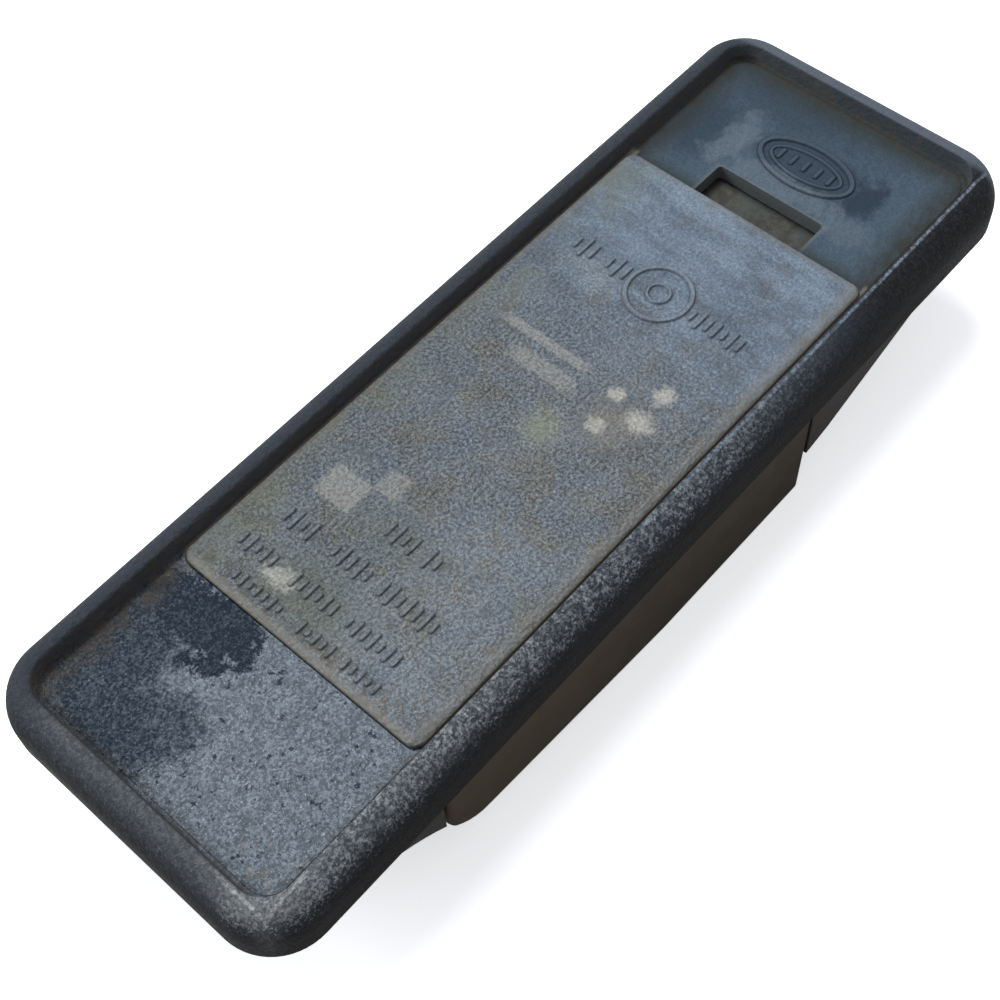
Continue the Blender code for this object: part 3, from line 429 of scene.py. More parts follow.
def rim_skin(make, tones, up, mid, fine, inner):
    """Dark rim: fine grey grains on its worn sides and a rubbed inner edge, with painted sky sheen
    on its faces turned up, painted glints among the grains and a painted highlight along the inner
    edge.
    """
    cluster = make.noise(1.9, 5.0, 0.75, 0.4).step(0.42, 0.58)
    grains = make.noise(0.42, 5.0, 0.8).step(0.44, 0.62)
    glint_specks = make.noise(0.26, 3.0, 0.7).step(0.58, 0.70)
    right_side = make.y.step(-12.0, -16.0) * make.x.step(30.0, -2.0)
    near_side = make.x.step(-50.0, -55.0) * make.y.step(18.0, 8.0)
    far_right = make.y.step(-14.0, -17.0) * make.x.step(24.0, 36.0)
    # Faces turned up are lighter and bluer: painted sky sheen over some wear, weaker on the far
    # right side.
    top_sheen_and_wear = up.step(0.15, 0.95) * (0.8 - far_right * 0.75)
    near_top = (up.step(0.35, 1.0) * 0.7).upper(inner.step(-3.0, -1.2))
    dusty = make.x.step(-10.0, -40.0) * right_side * up.step(0.45, 0.9) * 0.5
    outer = near_side * inner.step(-3.2, -4.2) * 0.75
    right_top = right_side * (up + (fine - 0.5) * 1.2).step(0.42, 0.66)
    # The brightest specks on faces turned up are painted glints, set among the pale dust grains.
    bright = glint_specks * (0.04 + near_side * 0.20 + cluster * right_side * 0.75) * up.step(0.1, 0.6)
    # A thin band along the rounding of the rim's inner edge: rubbed wear that also carries a
    # painted highlight, grey at the near right corner and pale blue along the right side.
    rubbed_and_highlit_band = inner.step(-1.12, -0.98) * inner.step(-0.62, -0.76)
    corner = make.blot(-55.0, -16.0, 5.5, 5.0, 0.5, (mid - 0.5) * 1.5)
    worn_edge_highlight = rubbed_and_highlit_band * make.y.step(-15.0, -16.0) * make.x.step(-14.0, 6.0)
    # The far rim's faces turned up carry a painted bluish sky sheen.
    far_rim_sheen = make.x.step(54.8, 56.2) * up.step(0.2, 0.8) * 0.9
    wall_tone = make.tint(make.x.step(51.0, 55.0), (0.060, 0.060, 0.064), (0.046, 0.057, 0.066))
    wall_tone = make.tint(mid.step(0.42, 0.62) * 0.5, wall_tone, (0.085, 0.070, 0.055))
    low = make.z.step(19.0, 15.0) * (0.65 + mid * 0.4)
    return make.layers(
        make.tint(top_sheen_and_wear, tones.black, (0.037, 0.045, 0.057)),
        (near_side * (0.30 + grains * 0.70) * near_top, (0.118, 0.123, 0.126)),
        (grains * 0.22 * up.step(0.05, 0.6), (0.085, 0.085, 0.085)),
        (dusty * (0.4 + grains * 0.6), (0.150, 0.158, 0.162)),
        (outer, (0.026, 0.023, 0.020)),
        (grains * (0.40 + cluster * 0.60) * right_top, (0.272, 0.284, 0.293)),
        (bright, (0.400, 0.425, 0.445)),
        (corner * (0.15 + grains * 0.4) * up.step(0.5, 0.9), (0.215, 0.220, 0.220)),
        (rubbed_and_highlit_band * corner * (0.2 + grains * 0.6), (0.400, 0.410, 0.410)),
        ((worn_edge_highlight * (0.22 + grains * 0.7)).lower(0.9), (0.190, 0.235, 0.290)),
        (far_rim_sheen * (0.75 + mid * 0.4), (0.098, 0.114, 0.136)),
        (inner.step(-1.1, -0.8) * up.step(0.85, 0.5), wall_tone),
        (low.lower(1.0), (0.0105, 0.0080, 0.0058)))


def panel_finish(tones):
    """Bleached, grainy plastic with dust bands, pale patches and a moss tint; its side walls carry
    painted light and its marks painted light and shade.
    """
    make = Finish("panel_weathered_plastic", Specular_IOR_Level=0.24)
    fine = make.noise(0.36, 6.0, 0.82)
    grain = fine.step(0.42, 0.60)
    mid = make.noise(2.4, 5.0, 0.7, 0.4)
    lumps = make.noise(9.0, 4.0, 0.6, 0.5)
    glints = make.noise(0.23, 2.0, 0.7).step(0.62, 0.70)
    pits = make.noise(0.34, 3.0, 0.7).step(0.62, 0.70)
    hues = make.noise(5.0, 5.0, 0.7, 0.8)
    wiped = make.noise(2.6, 5.0, 0.7, 0.3, (1.0, 0.30, 1.0)).step(0.36, 0.66)
    crumbs = (make.noise(0.9, 4.0, 0.7) - 0.5) * 4.0
    rough_end = 1.0 - make.x.step(2.0, 26.0) * 0.55
    far = make.x.step(2.0, 24.0)
    face = make.layers(
        make.tint(far, tones.panel, tones.panel_far),
        (hues.step(0.50, 0.62) * (0.65 - far * 0.50), (0.142, 0.136, 0.112)),
        (hues.step(0.46, 0.36) * 0.50, (0.104, 0.128, 0.164)))
    face = make.brighten(face, 1.0 + (wiped - 0.5) * far * 0.45)
    face = make.brighten(face, 1.0 + (grain - 0.5) * rough_end * 1.15 + (lumps - 0.5) * 0.9
                         + make.blot(-28.0, -9.5, 14.0, 7.0, 0.9) * 0.30)
    left = PANEL_HIGH.y / MM - make.y
    from_near = make.x - PANEL_LOW.x / MM
    edge = from_near.lower(PANEL_HIGH.x / MM - make.x).lower(PANEL_HIGH.y / MM - abs(make.y))
    moss = left.step(8.0, 1.0) * lumps.step(0.35, 0.6) * 0.55
    moss = moss.upper(make.strongest(make.blot, MOSS_CLOUDS, (mid - 0.5) * 1.1))
    lichen = make.blot(-1.7, -1.3, 2.0, 1.9, 0.8, crumbs * 0.5) * (0.35 + grain * 0.45)
    tape = make.strongest(make.patch, TAPE_REMAINS, crumbs)
    spots = make.strongest(make.blot, PALE_SPOTS, crumbs)
    near_dirt = from_near.step(4.6, 0.8) * make.noise(1.3, 4.0, 0.6).step(0.50, 0.60)
    right = make.y.step(-13.5, -15.0)
    band = edge.step(1.35, 0.35) * right.upper(from_near.step(1.6, 0.6)) * 0.75
    band = band.upper(edge.step(1.3, 0.4) * 0.45).upper(edge.step(2.6, 0.8) * right * 0.5)
    face = make.layers(
        face,
        (pits * rough_end * 0.85, scaled(tones.panel, 0.22)),
        (glints * rough_end * 0.75, (0.430, 0.455, 0.480)),
        (mid.step(0.52, 0.66) * 0.45, scaled(tones.panel, 0.56)),
        (moss * (0.5 + grain * 0.5), scaled(tones.moss, 1.15)),
        (lichen, (0.255, 0.270, 0.190)),
        (tape * (0.35 + grain * 0.5), (0.310, 0.305, 0.275)),
        (make.blot(3.6, -7.0, 3.6, 3.4, 0.8, crumbs * 0.5) * 0.4, (0.120, 0.100, 0.072)),
        (spots * (0.50 + grain * 0.45), (0.470, 0.450, 0.395)),
        (near_dirt * 0.55, (0.085, 0.070, 0.045)),
        (band * (0.45 + mid * 0.6), tones.beige),
        # Marks: lighter tops for wear and a painted highlight, darker feet for dirt and painted
        # shade.
        (make.stored("mark_top_wear_and_highlight") * 0.30, scaled(tones.panel, 1.45)),
        (make.stored("mark_foot_dirt_and_shade") * 0.55, (0.055, 0.060, 0.064)),
        # Panel's side walls lightened beige: painted light that lifts the shade in the gap round
        # the panel.
        (edge.step(0.20, 0.02) * 0.8, (0.260, 0.240, 0.200)))
    flat = (1.0 - band * 0.6) * rough_end
    height = (make.noise(0.75, 2.5, 0.6, 0.3) * 1.1 + fine * 0.45 + mid * 0.4) * flat
    return make.finish(face, 0.40 + (1.0 - grain) * 0.20, height, 0.42 * MM)


def lens_finish(tones):
    """Smoked see-through plastic with flecks of dust, lighter brown towards its near end and
    painted shade along its top under the cover.
    """
    make = Finish("lens_smoked_plastic", Transmission_Weight=0.30, IOR=1.25,
                  Specular_IOR_Level=0.08)
    mist = make.noise(4.0, 3.0, 0.6)
    fine = make.noise(0.5, 2.0, 0.6)
    flecks = make.noise(0.7, 2.0, 0.5).step(0.70, 0.76)
    skin = make.layers(
        make.tint(mist.step(0.35, 0.7) * 0.35, tones.smoke, scaled(tones.smoke, 0.55)),
        (make.x.step(0.0, -20.0) * 0.7, (0.066, 0.042, 0.019)),
        # Darker towards the top, under the cover: painted shade.
        (make.z.step(12.5, 14.8) * 0.5, scaled(tones.smoke, 0.35)),
        (flecks * 0.35, tones.beige))
    roughness = 0.34 + mist * 0.12 + flecks * 0.3
    return make.finish(skin, roughness, fine * 0.3 + mist * 0.6, 0.02 * MM)


def block_finish(name, tones, lift):
    """Moulded plastic with a fine spark-eroded grain and dust on its ramps."""
    make = Finish(name, Specular_IOR_Level=0.12)
    fine = make.noise(0.33, 2.0, 0.6)
    mist = make.noise(3.5, 4.0, 0.6, 0.4)
    skin = make.tint(fine.step(0.4, 0.7) * 0.5, scaled(tones.brown_wall, lift),
                     scaled(tones.brown_wall, 1.6 * lift))
    skin = make.tint(mist.step(0.5, 0.72) * 0.35, skin, tones.earth)
    return make.finish(skin, 0.46 + mist * 0.16, fine * 0.7 + mist * 0.3, 0.05 * MM)


def rubber_finish(tones):
    """Dull black rubber with dry dust."""
    make = Finish("seal_rubber", Specular_IOR_Level=0.3)
    fine = make.noise(0.6, 3.0, 0.6)
    dust = make.noise(3.0, 3.0, 0.6)
    skin = make.tint(dust.step(0.5, 0.75) * 0.4, tones.rubber, (0.075, 0.072, 0.066))
    return make.finish(skin, 0.62 + fine * 0.2, fine, 0.03 * MM)


def rust_finish(tones):
    """Spring steel under flaking rust and road dirt."""
    make = Finish("rusty_spring_steel", Specular_IOR_Level=0.3)
    flakes = make.noise(0.9, 4.0, 0.65, 0.5)
    patches = make.noise(3.5, 3.0, 0.6)
    skin = make.tint(flakes.step(0.38, 0.66), scaled(tones.rust, 0.75), scaled(tones.rust, 1.35))
    skin = make.tint(patches.step(0.38, 0.58) * 0.7, skin, (0.062, 0.072, 0.068))
    skin = make.tint(flakes.step(0.62, 0.75) * 0.5, skin, (0.125, 0.125, 0.112))
    make.link(patches.step(0.62, 0.72) * 0.4, "Metallic")
    return make.finish(skin, 0.66 + flakes * 0.24, flakes * 0.8 + patches * 0.3, 0.09 * MM)


def metal_finish(name, tone, roughness, tarnish, tarnish_tone, brushed=(1.0, 1.0, 1.0)):
    """Plated or drawn metal with fine marks and tarnish."""
    make = Finish(name, Metallic=1.0)
    lines = make.noise(0.35, 3.0, 0.6, 0.0, brushed)
    stain = make.noise(2.2, 4.0, 0.6, 0.5)
    mask = stain.step(0.45, 0.72) * tarnish
    skin = make.tint(mask, tone, tarnish_tone)
    skin = make.tint(lines.step(0.35, 0.7) * 0.25, skin, scaled(tone, 0.6))
    gloss = roughness + mask * 0.35 + lines * 0.10
    return make.finish(skin, gloss, lines * 0.4 + stain * 0.3, 0.02 * MM)


def carrier_finish():
    """Pale grey plastic, browned by the bulb's heat."""
    make = Finish("carrier_grey_plastic", Specular_IOR_Level=0.4)
    fine = make.noise(0.5, 2.0, 0.6)
    stain = make.noise(5.0, 4.0, 0.6, 0.5)
    skin = make.tint(stain.step(0.42, 0.7) * 0.5, (0.300, 0.298, 0.280), (0.210, 0.185, 0.140))
    skin = make.tint(fine.step(0.4, 0.7) * 0.25, skin, (0.360, 0.355, 0.335))
    return make.finish(skin, 0.42 + stain * 0.2, fine, 0.03 * MM)


def glass_finish():
    """Clear bulb glass with a faint grey film and a few dust motes."""
    make = Finish("bulb_clear_glass", Transmission_Weight=1.0, IOR=1.45)
    film = make.noise(3.0, 3.0, 0.6)
    motes = make.noise(0.4, 2.0, 0.5).step(0.70, 0.76)
    skin = make.tint(film.step(0.45, 0.75) * 0.3, (0.960, 0.965, 0.960), (0.820, 0.815, 0.790))
    roughness = 0.03 + film * 0.05 + motes * 0.3
    return make.finish(skin, roughness, film * 0.3 + motes * 0.5, 0.01 * MM)


def deselect():
    """Leave edit mode and clear the selection."""
    if bpy.context.object is not None and bpy.context.object.mode != "OBJECT":
        bpy.ops.object.mode_set(mode="OBJECT")
    bpy.ops.object.select_all(action="DESELECT")


def focus(item):
    """Select only this object and make it the active one."""
    deselect()
    item.select_set(True)
    bpy.context.view_layer.objects.active = item


def settle(item):
    """Put the object's place, turn and size into its mesh."""
    focus(item)
    bpy.ops.object.transform_apply(location=True, rotation=True, scale=True)


def named(item_name):
    """Name the active object and its mesh."""
    item = bpy.context.object
    item.name = item_name
    item.data.name = item_name
    return item


def block(item_name, low, high):
    """A box between two corners, ready for shaping."""
    deselect()
    low = Vector(low)
    high = Vector(high)
    bpy.ops.mesh.primitive_cube_add(size=1.0, location=(low + high) / 2.0, scale=high - low)
    item = named(item_name)
    settle(item)
    return item


def pick(item, kind, test):
    """In edit mode, select the vertices, edges or faces that pass a test."""
    focus(item)
    bpy.ops.object.mode_set(mode="EDIT")
    bpy.ops.mesh.select_mode(type=kind)
    bpy.ops.mesh.select_all(action="DESELECT")
    shape = bmesh.from_edit_mesh(item.data)
    group = {"VERT": shape.verts, "EDGE": shape.edges, "FACE": shape.faces}[kind]
    for element in group:
        if test(element):
            element.select = True
    shape.select_flush_mode()
    bmesh.update_edit_mesh(item.data)


def upright_edge(edge):
    """Whether an edge stands upright."""
    first, second = [vert.co for vert in edge.verts]
    return (first.xy - second.xy).length < 1e-7 and abs(first.z - second.z) > 1e-6


def faces_up(face):
    return face.normal.z > 0.99


def faces_down(face):
    return face.normal.z < -0.99


def round_corners(item, radius, segments):
    """Round the upright edges of a block."""
    pick(item, "EDGE", upright_edge)
    bpy.ops.mesh.bevel(offset=radius, offset_type="OFFSET", segments=segments, affect="EDGES")
    deselect()


def step_face(item, test, moves):
    """Inset a face of an item by each width and move it by each height in turn."""
    pick(item, "FACE", test)
    for width, rise in moves:
        bpy.ops.mesh.inset(thickness=width, depth=rise, use_even_offset=True)
    deselect()


def rounding(width, rise, steps):
    """Inset moves that round an edge from its side up to its face."""
    moves = []
    for step in range(steps):
        start = 0.5 * math.pi * step / steps
        end = 0.5 * math.pi * (step + 1) / steps
        moves.append((width * (math.cos(start) - math.cos(end)),
                      rise * (math.sin(end) - math.sin(start))))
    return moves


def rounded_block(item_name, low, high, corner, edge=0.0, under=0.0, segments=6):
    """A block with rounded upright corners and, if asked, rounded upper and lower edges."""
    item = block(item_name, (low[0], low[1], low[2] + under), (high[0], high[1], high[2] - edge))
    round_corners(item, corner, segments)
    for width, test in ((edge, faces_up), (under, faces_down)):
        if width > 0.0:
            step_face(item, test, rounding(width, width, 4))
    return item


def apply_modifier(item, kind, **settings):
    """Add a modifier with its settings and apply it."""
    focus(item)
    modifier = item.modifiers.new(kind.title(), kind)
    for setting, value in settings.items():
        setattr(modifier, setting, value)
    bpy.ops.object.modifier_apply(modifier=modifier.name)


def carve(item, tool, operation="DIFFERENCE"):
    """Cut a tool out of an item, or weld it on, and remove the tool."""
    apply_modifier(item, "BOOLEAN", object=tool, operation=operation, solver="EXACT")
    bpy.data.objects.remove(tool, do_unlink=True)


def weld(item, tool):
    """Join a tool to an item as one closed body."""
    carve(item, tool, "UNION")


def tidy_mesh(item):
    """Merge loose corners and dissolve flat joins between triangles."""
    focus(item)
    bpy.ops.object.mode_set(mode="EDIT")
    bpy.ops.mesh.select_mode(type="VERT")
    bpy.ops.mesh.select_all(action="SELECT")
    bpy.ops.mesh.remove_doubles(threshold=0.001 * MM)
    bpy.ops.mesh.dissolve_limited(angle_limit=math.radians(0.5))
    deselect()


def outward(item):
    """Turn all faces outwards."""
    focus(item)
    bpy.ops.object.mode_set(mode="EDIT")
    bpy.ops.mesh.select_all(action="SELECT")
    bpy.ops.mesh.normals_make_consistent(inside=False)
    deselect()


def smooth(item, angle):
    """Shade smooth, but keep edges sharper than this angle in degrees."""
    focus(item)
    bpy.ops.object.shade_smooth_by_angle(angle=math.radians(angle))


def soften(item, width, segments):
    """Round all sharp edges a little."""
    apply_modifier(item, "BEVEL", width=width, segments=segments, limit_method="ANGLE",
                   angle_limit=math.radians(40.0), use_clamp_overlap=True,
                   miter_outer="MITER_ARC")


def join_all(first, others):
    """Join others into the first item."""
    focus(first)
    for item in others:
        item.select_set(True)
    bpy.ops.object.join()


def turned(item_name, profile, place, sides=32):
    """Raise a circle through (radius, height) steps and place it."""
    deselect()
    bpy.ops.mesh.primitive_circle_add(
        vertices=sides, radius=profile[0][0], fill_type="NGON", location=(0, 0, profile[0][1]))
    item = named(item_name)
    settle(item)
    bpy.ops.object.mode_set(mode="EDIT")
    bpy.ops.mesh.select_mode(type="FACE")
    bpy.ops.mesh.select_all(action="SELECT")
    for (radius, level), (next_radius, next_level) in zip(profile, profile[1:]):
        rise = next_level - level
        bpy.ops.mesh.extrude_region_move(TRANSFORM_OT_translate={"value": (0, 0, rise)})
        ratio = next_radius / radius
        bpy.ops.transform.resize(value=(ratio, ratio, 1.0), center_override=(0, 0, next_level))
    outward(item)
    item.location = place
    settle(item)
    return item


def frame_copy(node, item_name, width, segments, angle):
    """A merged copy of a frame node with softened edges."""
    deselect()
    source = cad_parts[node]
    item = bpy.data.objects.new(item_name, source.data.copy())
    bpy.context.scene.collection.objects.link(item)
    item.data.name = item_name
    focus(item)
    if item.data.has_custom_normals:
        bpy.ops.mesh.customdata_custom_splitnormals_clear()
    item.data.materials.clear()
    tidy_mesh(item)
    if width > 0.0:
        soften(item, width, segments)
    smooth(item, angle)
    return item


def complete(item, material, body, node):
    """Give a piece its finish, hang it on its body and hide the frame node that it stands for."""
    item.data.materials.clear()
    item.data.materials.append(material)
    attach(item, body)
    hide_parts(node)


def dress(node, item_name, width, material, body="root", segments=2, angle=35.0):
    """Make a finished piece from a frame node, its edges softened by a width in millimetres."""
    item = frame_copy(node, item_name, width * MM, segments, angle)
    complete(item, material, body, node)


def mark_zones(item, base, height):
    """Store on a mark which corners lie at its foot, darkened with dirt and painted shade, and
    which on its top, lightened with wear and a painted highlight.
    """
    heights = [vert.co.z - base for vert in item.data.vertices]
    feet = item.data.attributes.new("mark_foot_dirt_and_shade", "FLOAT", "POINT")
    feet.data.foreach_set("value", [float(level < 0.03 * MM) for level in heights])
    tops = item.data.attributes.new("mark_top_wear_and_highlight", "FLOAT", "POINT")
    tops.data.foreach_set("value", [float(level > 0.8 * height) for level in heights])
    return item


def ring_mark(item_name, x, y, half_x, half_y, line, base, height):
    """A raised oval line on a face, with a low foot on both sides."""
    deselect()
    foot = 0.09 * MM
    side = 0.13 * MM
    bpy.ops.mesh.primitive_cylinder_add(
        vertices=64, radius=1.0, depth=1.0, location=(x, y, base + MARK_LIFT / 2.0 - MARK_SINK),
        scale=(half_x + foot, half_y + foot, MARK_LIFT + 2.0 * MARK_SINK))
    item = named(item_name)
    settle(item)
    step_face(item, faces_up, [
        (foot, 0.0), (side, height), (line - 2.0 * side, 0.0), (side, -height), (foot, 0.0),
        (0.02 * MM, -MARK_SINK)])
    return mark_zones(item, base, height)


def bar_mark(item_name, x, y, long_x, long_y, base, height):
    """A raised bar with rounded ends on a face, with a low foot round it."""
    foot = 0.08 * MM
    corner = 0.45 * min(long_x, long_y) + foot
    reach = Vector((long_x / 2.0 + foot, long_y / 2.0 + foot, 0.0))
    item = rounded_block(item_name, Vector((x, y, base - MARK_SINK)) - reach,
                         Vector((x, y, base + MARK_LIFT)) + reach, corner, segments=3)
    step_face(item, faces_up, [(foot, 0.0), (0.10 * MM, height), (0.06 * MM, 0.02 * MM)])
    return mark_zones(item, base, height)


def mark_row(x, start, end, tall, pitch, gaps, base, height):
    """A row of plain upright bars of a few lengths, with gaps between groups."""
    pitch = math.copysign(pitch, end - start)
    marks = []
    for index in range(int((end - start) / pitch) + 1):
        if index not in gaps:
            long_x = tall * (1.0, 0.72, 0.9, 0.55)[(index * 3 + 1) % 4]
            marks.append(bar_mark("mark", x, start + pitch * index, long_x, 0.55 * MM, base,
                                  height))
    return marks


def cover_walls(sizes):
    """The cover's rounded rim, its sunk floor and the hollow underneath."""
    low, high = COVER_LOW, COVER_HIGH
    foot = 0.4 * MM
    cover = block("cover_body", (low.x, low.y, low.z + foot),
                  (high.x, high.y, TOP - sizes.rim_drop))
    round_corners(cover, sizes.corner, 14)
    wall = FLOOR_DEPTH - 0.60 * MM
    sunk = [(0.12 * MM, -0.02 * MM), (0.10 * MM, -0.06 * MM), (0.08 * MM, -0.14 * MM),
            (0.20 * MM, -wall), (0.10 * MM, -0.22 * MM), (0.16 * MM, -0.16 * MM),
            (0.08 * MM, -0.10 * MM), (0.16 * MM, 0.0), (0.08 * MM, 0.10 * MM)]
    step_face(cover, faces_up, rounding(sizes.rim_round, sizes.rim_drop, 12) + sunk)
    roof_rise = COVER_HIGH.z - ROOF_DEPTH - low.z
    hollow = [(1.6 * MM, 0.0), (0.15 * MM, -0.06 * MM), (0.06 * MM, -0.15 * MM),
              (0.10 * MM, 0.21 * MM - roof_rise)]
    step_face(cover, faces_down, rounding(foot, foot, 4) + hollow)
    return cover


def screw_places():
    """Places of the four screws, seen from above."""
    return [(x, side) for x, y in SCREWS.values() for side in (-y, y)]


def add_supports(cover):
    """Weld the seat pads and the screw bosses under the cover."""
    half_x, half_y = PAD_HALF
    for x in (-PAD_X, PAD_X):
        pad = rounded_block("pad", (x - half_x, -half_y, COVER_LOW.z),
                            (x + half_x, half_y, COVER_LOW.z + 2.4 * MM), 0.8 * MM,
                            under=0.25 * MM)
        weld(cover, pad)
    for x, y in screw_places():
        profile = [(2.9 * MM, 0.0), (3.2 * MM, 0.3 * MM), (3.2 * MM, 3.9 * MM)]
        weld(cover, turned("boss", profile, (x, y, BOSS_END)))


def cut_openings(cover):
    """Cut the panel's seat, the opening under it, the pry slot, the seal groove and the bores."""
    recess = rounded_block(
        "recess", (PANEL_LOW.x - RECESS_GAP, PANEL_LOW.y - RECESS_GAP, TOP - LEDGE_DEPTH),
        (PANEL_HIGH.x + RECESS_GAP, PANEL_HIGH.y + RECESS_GAP, TOP - 0.9 * MM), 1.45 * MM)
    carve(cover, recess)
    near, far, half, corner = OPENING
    carve(cover, rounded_block("opening", (near, -half, TOP - 6.0 * MM), (far, half, TOP), corner))
    slot_near, slot_far, slot_half = SLOT
    slot = rounded_block("slot", (slot_near - 1.0 * MM, -slot_half, TOP - 6.0 * MM),
                         (slot_far, slot_half, TOP - 1.0 * MM), 0.5 * MM, segments=4)
    carve(cover, slot)
    grow = 2.9 * MM + 0.3 * MM
    shrink = 1.5 * MM - 0.3 * MM
    groove = rounded_block("groove", (near - grow, -half - grow, TOP - LEDGE_DEPTH - 0.75 * MM),
                           (far + grow, half + grow, TOP - LEDGE_DEPTH + 0.4 * MM), 4.0 * MM)
    island = rounded_block("island", (near - shrink, -half - shrink, TOP - 5.0 * MM),
                           (far + shrink, half + shrink, TOP), 3.0 * MM)
    carve(groove, island)
    carve(cover, groove)
    for x in (-PAD_X, PAD_X):
        bore_low = COVER_LOW.z - 1.0 * MM
        carve(cover, turned("bore", [(3.55 * MM, 0.0), (3.55 * MM, 3.65 * MM)], (x, 0, bore_low)))
    screw_hole = [(1.75 * MM, 0.0), (1.75 * MM, 4.95 * MM)]
    for x, y in screw_places():
        carve(cover, turned("hole", screw_hole, (x, y, BOSS_END - 1.0 * MM), 20))
    catch_hole = [(1.4 * MM, 0.0), (1.4 * MM, 1.85 * MM)]
    carve(cover, turned("hole", catch_hole, (CATCH_PIVOT, 0, TOP - 5.0 * MM), 20))


def build_cover(sizes, tones):
    cover = cover_walls(sizes)
    add_supports(cover)
    cut_openings(cover)
    tidy_mesh(cover)
    x, y = OVAL_MIDDLE
    floor = TOP - FLOOR_DEPTH
    rise = sizes.mark_height
    marks = [ring_mark("oval", x, y, 3.55 * MM, 6.35 * MM, 0.7 * MM, floor, rise),
             ring_mark("oval", x, y, 2.2 * MM, 4.9 * MM, 0.5 * MM, floor, 0.7 * rise)]
    for index in range(-2, 3):
        marks.append(bar_mark("mark", x, y + index * 1.7 * MM, 1.8 * MM, 0.6 * MM, floor,
                              0.8 * rise))
    join_all(cover, marks)
    smooth(cover, 32.0)
    complete(cover, cover_finish(tones), "root", "cover_shell")


def build_panel(sizes, tones):
    low, high = PANEL_LOW, PANEL_HIGH
    edge = sizes.panel_edge
    rise = 0.55 * edge
    under = TOP - PANEL_UNDER_DEPTH
    panel = block("marked_panel", (low.x, low.y, under), (high.x, high.y, high.z - rise))
    round_corners(panel, 1.3 * MM, 8)
    step_face(panel, faces_up, rounding(edge, rise, 6))
    near, far, half, corner = OPENING
    gap = 0.7 * MM
    rib_end = TOP - 3.7 * MM
    rib = rounded_block("rib", (near + gap, gap - half, rib_end),
                        (far - gap, half - gap, under + 0.2 * MM), corner, under=0.2 * MM)
    wall = gap + 1.2 * MM
    hollow = rounded_block("hollow", (near + wall, wall - half, rib_end - 1.0 * MM),
                           (far - wall, half - wall, under), 0.9 * MM)
    carve(rib, hollow)
    weld(panel, rib)
    lug_face = far - gap
    lug = rounded_block("lug", (lug_face - 1.4 * MM, -3.6 * MM, low.z),
                        (lug_face, 3.6 * MM, under + 0.3 * MM), 0.4 * MM, under=0.3 * MM)
    weld(panel, lug)
    for x in (BULB_X - 11.0 * MM, BULB_X + 11.0 * MM):
        profile = [(1.8 * MM, 0.0), (2.0 * MM, 0.2 * MM), (2.0 * MM, 1.8 * MM)]
        weld(panel, turned("post", profile, (x, 0, TOP - 3.75 * MM)))
    tidy_mesh(panel)
    marks = [ring_mark("ring", *RING_MIDDLE, radius * MM, radius * MM, line * MM, high.z,
                       sizes.mark_height) for radius, line in ((4.0, 0.65), (1.5, 0.45))]
    for *row, gaps in MARK_ROWS:
        marks += mark_row(*(MM * value for value in row), gaps, high.z, sizes.mark_height)
    join_all(panel, marks)
    smooth(panel, 32.0)
    complete(panel, panel_finish(tones), "panel", "marking_panel")


def belly_share(x):
    """Share of the lens's depth that is left at a place along its length."""
    full = LENS_HIGH.z
    flat_from = -3.0 * MM
    turn_from = -31.0 * MM
    ramp_height = TOP - 18.3 * MM
    end_height = TOP - 14.0 * MM
    if x >= flat_from:
        return 1.0
    if x >= turn_from:
        return 1.0 - ramp_height * (flat_from - x) / (flat_from - turn_from) / full
    share = (turn_from - x) / (turn_from - LENS_LOW.x)
    return (full - ramp_height - (end_height - ramp_height) * share ** 2) / full


def trough(item_name, inset, top, bottom, corner, edge):
    """A drafted block whose underside follows the lens's belly."""
    low = Vector((LENS_LOW.x + inset, LENS_LOW.y + inset, bottom + edge))
    high = Vector((LENS_HIGH.x - inset, LENS_HIGH.y - inset, top))
    item = block(item_name, low, high)
    round_corners(item, corner, 8)
    pick(item, "FACE", faces_down)
    draft = 0.08 * MM
    shrink = [1.0 - 2.0 * draft / (high[axis] - low[axis]) for axis in (0, 1)]
    middle = (low + high) / 2.0
    bpy.ops.transform.resize(value=(*shrink, 1.0), center_override=(middle.x, 0, low.z))
    step_face(item, faces_down, rounding(edge, edge, 6))
    for x in (-3.0, -17.0, -26.0, -31.0, -32.0, -33.0, -34.0, -35.0):
        pick(item, "FACE", lambda face: True)
        bpy.ops.mesh.bisect(plane_co=(x * MM, 0, 0), plane_no=(1, 0, 0))
    deselect()
    for x in sorted({round(vert.co.x, 7) for vert in item.data.vertices}):
        share = belly_share(x)
        if share < 1.0:
            pick(item, "VERT", lambda vert: abs(vert.co.x - x) < 1e-7)
            bpy.ops.transform.resize(value=(1.0, 1.0, share), center_override=(0, 0, LENS_HIGH.z))
    deselect()
    return item


def build_lens(sizes, tones):
    wall = sizes.lens_wall
    lens = trough("lens_cup", 0.0, LENS_HIGH.z, 0.0, 0.7 * MM, 0.6 * MM)
    inside = trough("inside", wall, TOP - 9.0 * MM, wall, 1.2 * MM, 0.6 * MM)
    carve(lens, inside)
    lip = 4.55 * MM
    throat = rounded_block("throat", (LENS_LOW.x + lip, LENS_LOW.y + lip, TOP - 9.6 * MM),
                           (LENS_HIGH.x - lip, LENS_HIGH.y - lip, TOP), 0.8 * MM)
    carve(lens, throat)
    tidy_mesh(lens)
    smooth(lens, 30.0)
    complete(lens, lens_finish(tones), "root", "lens")


def build_blocks(sizes, tones):
    for end, lift in (("near", 0.9), ("far", 1.1)):
        plastic = block_finish(f"{end}_block_plastic", tones, lift)
        dress(f"end_block_{end}", f"{end}_block", sizes.soft_edge / MM, plastic,
              segments=3)


